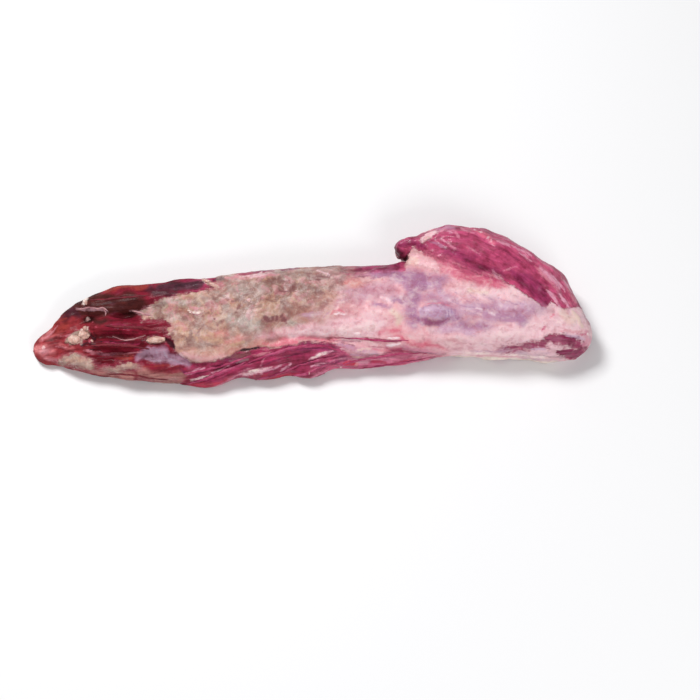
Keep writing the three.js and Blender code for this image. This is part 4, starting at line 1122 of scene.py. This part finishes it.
def add_lump(build, x, y, wide, deep, high, turn, seed):
    """One lobed ball of fat, laid on the meat at a point of the plan and turned by degrees."""
    hit, facing = on_meat(x, y)
    ball = bmesh.ops.create_icosphere(build, subdivisions=4, radius=1.0)["verts"]
    ahead = Vector((math.cos(math.radians(turn)), -math.sin(math.radians(turn)), 0))
    ahead = (ahead - facing * ahead.dot(facing)).normalized()
    sideways = facing.cross(ahead)
    for v in ball:
        d = v.co.normalized()
        lobes = 0.92 + 0.25 * noise.noise(d * 1.6 + Vector((seed, 0, 0)))
        lobes += 0.32 * abs(noise.noise(d * 2.6 + Vector((0, seed, 0))))
        v.co = hit + (ahead * d.x * wide + sideways * d.y * deep + facing * d.z * high) * lobes * 0.001
        v.co.z = max(v.co.z, 0)


def soft_fat():
    """Raw fat: cream and pink blotches, with painted reddish shade in the creases between small lobes."""
    f = Finish("soft_fat")
    place = f.place_of()
    blotch = f.cloudy(place, 150, 5, 0.62)
    lobe = f.cloudy(place, 420, 5, 0.65)
    toward_head = f.ramp(f.add("SeparateXYZ", {"Vector": place}), -0.15, 0.05)
    colour = f.blend(toward_head, tint("C69C90"), tint("E0AAB0"))
    colour = f.tinted(colour, blotch, 0.48, 0.62, 0.7, "E6C8BA")
    colour = f.tinted(colour, blotch, 0.48, 0.34, 0.6, "9C6A62")
    # Painted shade: reddish where the bump sinks between the lobes.
    colour = f.tinted(colour, lobe, 0.46, 0.34, 0.4, "A87874")
    f.put(Base_Color=colour, Roughness=f.line(lobe, 0.4, 0.22), Specular_IOR_Level=0.3)
    f.flesh(0.2, (1.0, 0.55, 0.4), 0.0025)
    f.bump(lobe, 0.6, 0.0008)
    return f.material


build = bmesh.new()
for n, lump in enumerate(FAT_LUMPS):
    add_lump(build, *lump, seed=n * 3.7)
fat_lumps = placed("fat_lumps", mesh_of(build, "fat_lumps"))
fat_lumps.data.materials.append(soft_fat())
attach(fat_lumps, "root")


# THE FLOOR, THE LIGHT AND THE CAMERA
# A plain white table, big soft lights above it, and the camera at the plan's eye, above the near
# side and looking steeply down.

build = bmesh.new()
bmesh.ops.create_grid(build, x_segments=1, y_segments=1, size=4.0)
floor = placed("floor", mesh_of(build, "floor"))
white_table = Finish("white_table")
white_table.put(Base_Color=(0.86, 0.86, 0.87, 1), Roughness=0.6)
floor.data.materials.append(white_table.material)


def soft_light(name, place, aim, size, power):
    """A rectangular lamp that looks at a point."""
    lamp = bpy.data.lights.new(name, "AREA")
    lamp.shape = "RECTANGLE"
    lamp.size, lamp.size_y = size
    lamp.energy = power
    held = placed(name, lamp)
    held.location = place
    held.rotation_euler = (Vector(aim) - Vector(place)).to_track_quat("-Z", "Y").to_euler()


soft_light("key", (-0.9, 0.9, 1.9), (0, 0, 0), (0.7, 0.7), 44)
soft_light("fill", (0.9, -1.5, 1.3), (0.1, 0, 0), (1.2, 0.8), 18)
sky = bpy.data.worlds.new("studio")
sky.use_nodes = True
sky.node_tree.nodes["Background"].inputs["Color"].default_value = (1, 1, 1, 1)
sky.node_tree.nodes["Background"].inputs["Strength"].default_value = 0.3
bpy.context.scene.world = sky
bpy.context.scene.view_settings.view_transform = "Standard"

lens = bpy.data.cameras.new("camera")
lens.lens = 85
lens.sensor_width = 36
camera = placed("camera", lens)
camera.location = PLAN_EYE
camera.rotation_euler = (Vector(PLAN_MIDDLE / 1000) - PLAN_EYE).to_track_quat("-Z", "Y").to_euler()
bpy.context.scene.camera = camera
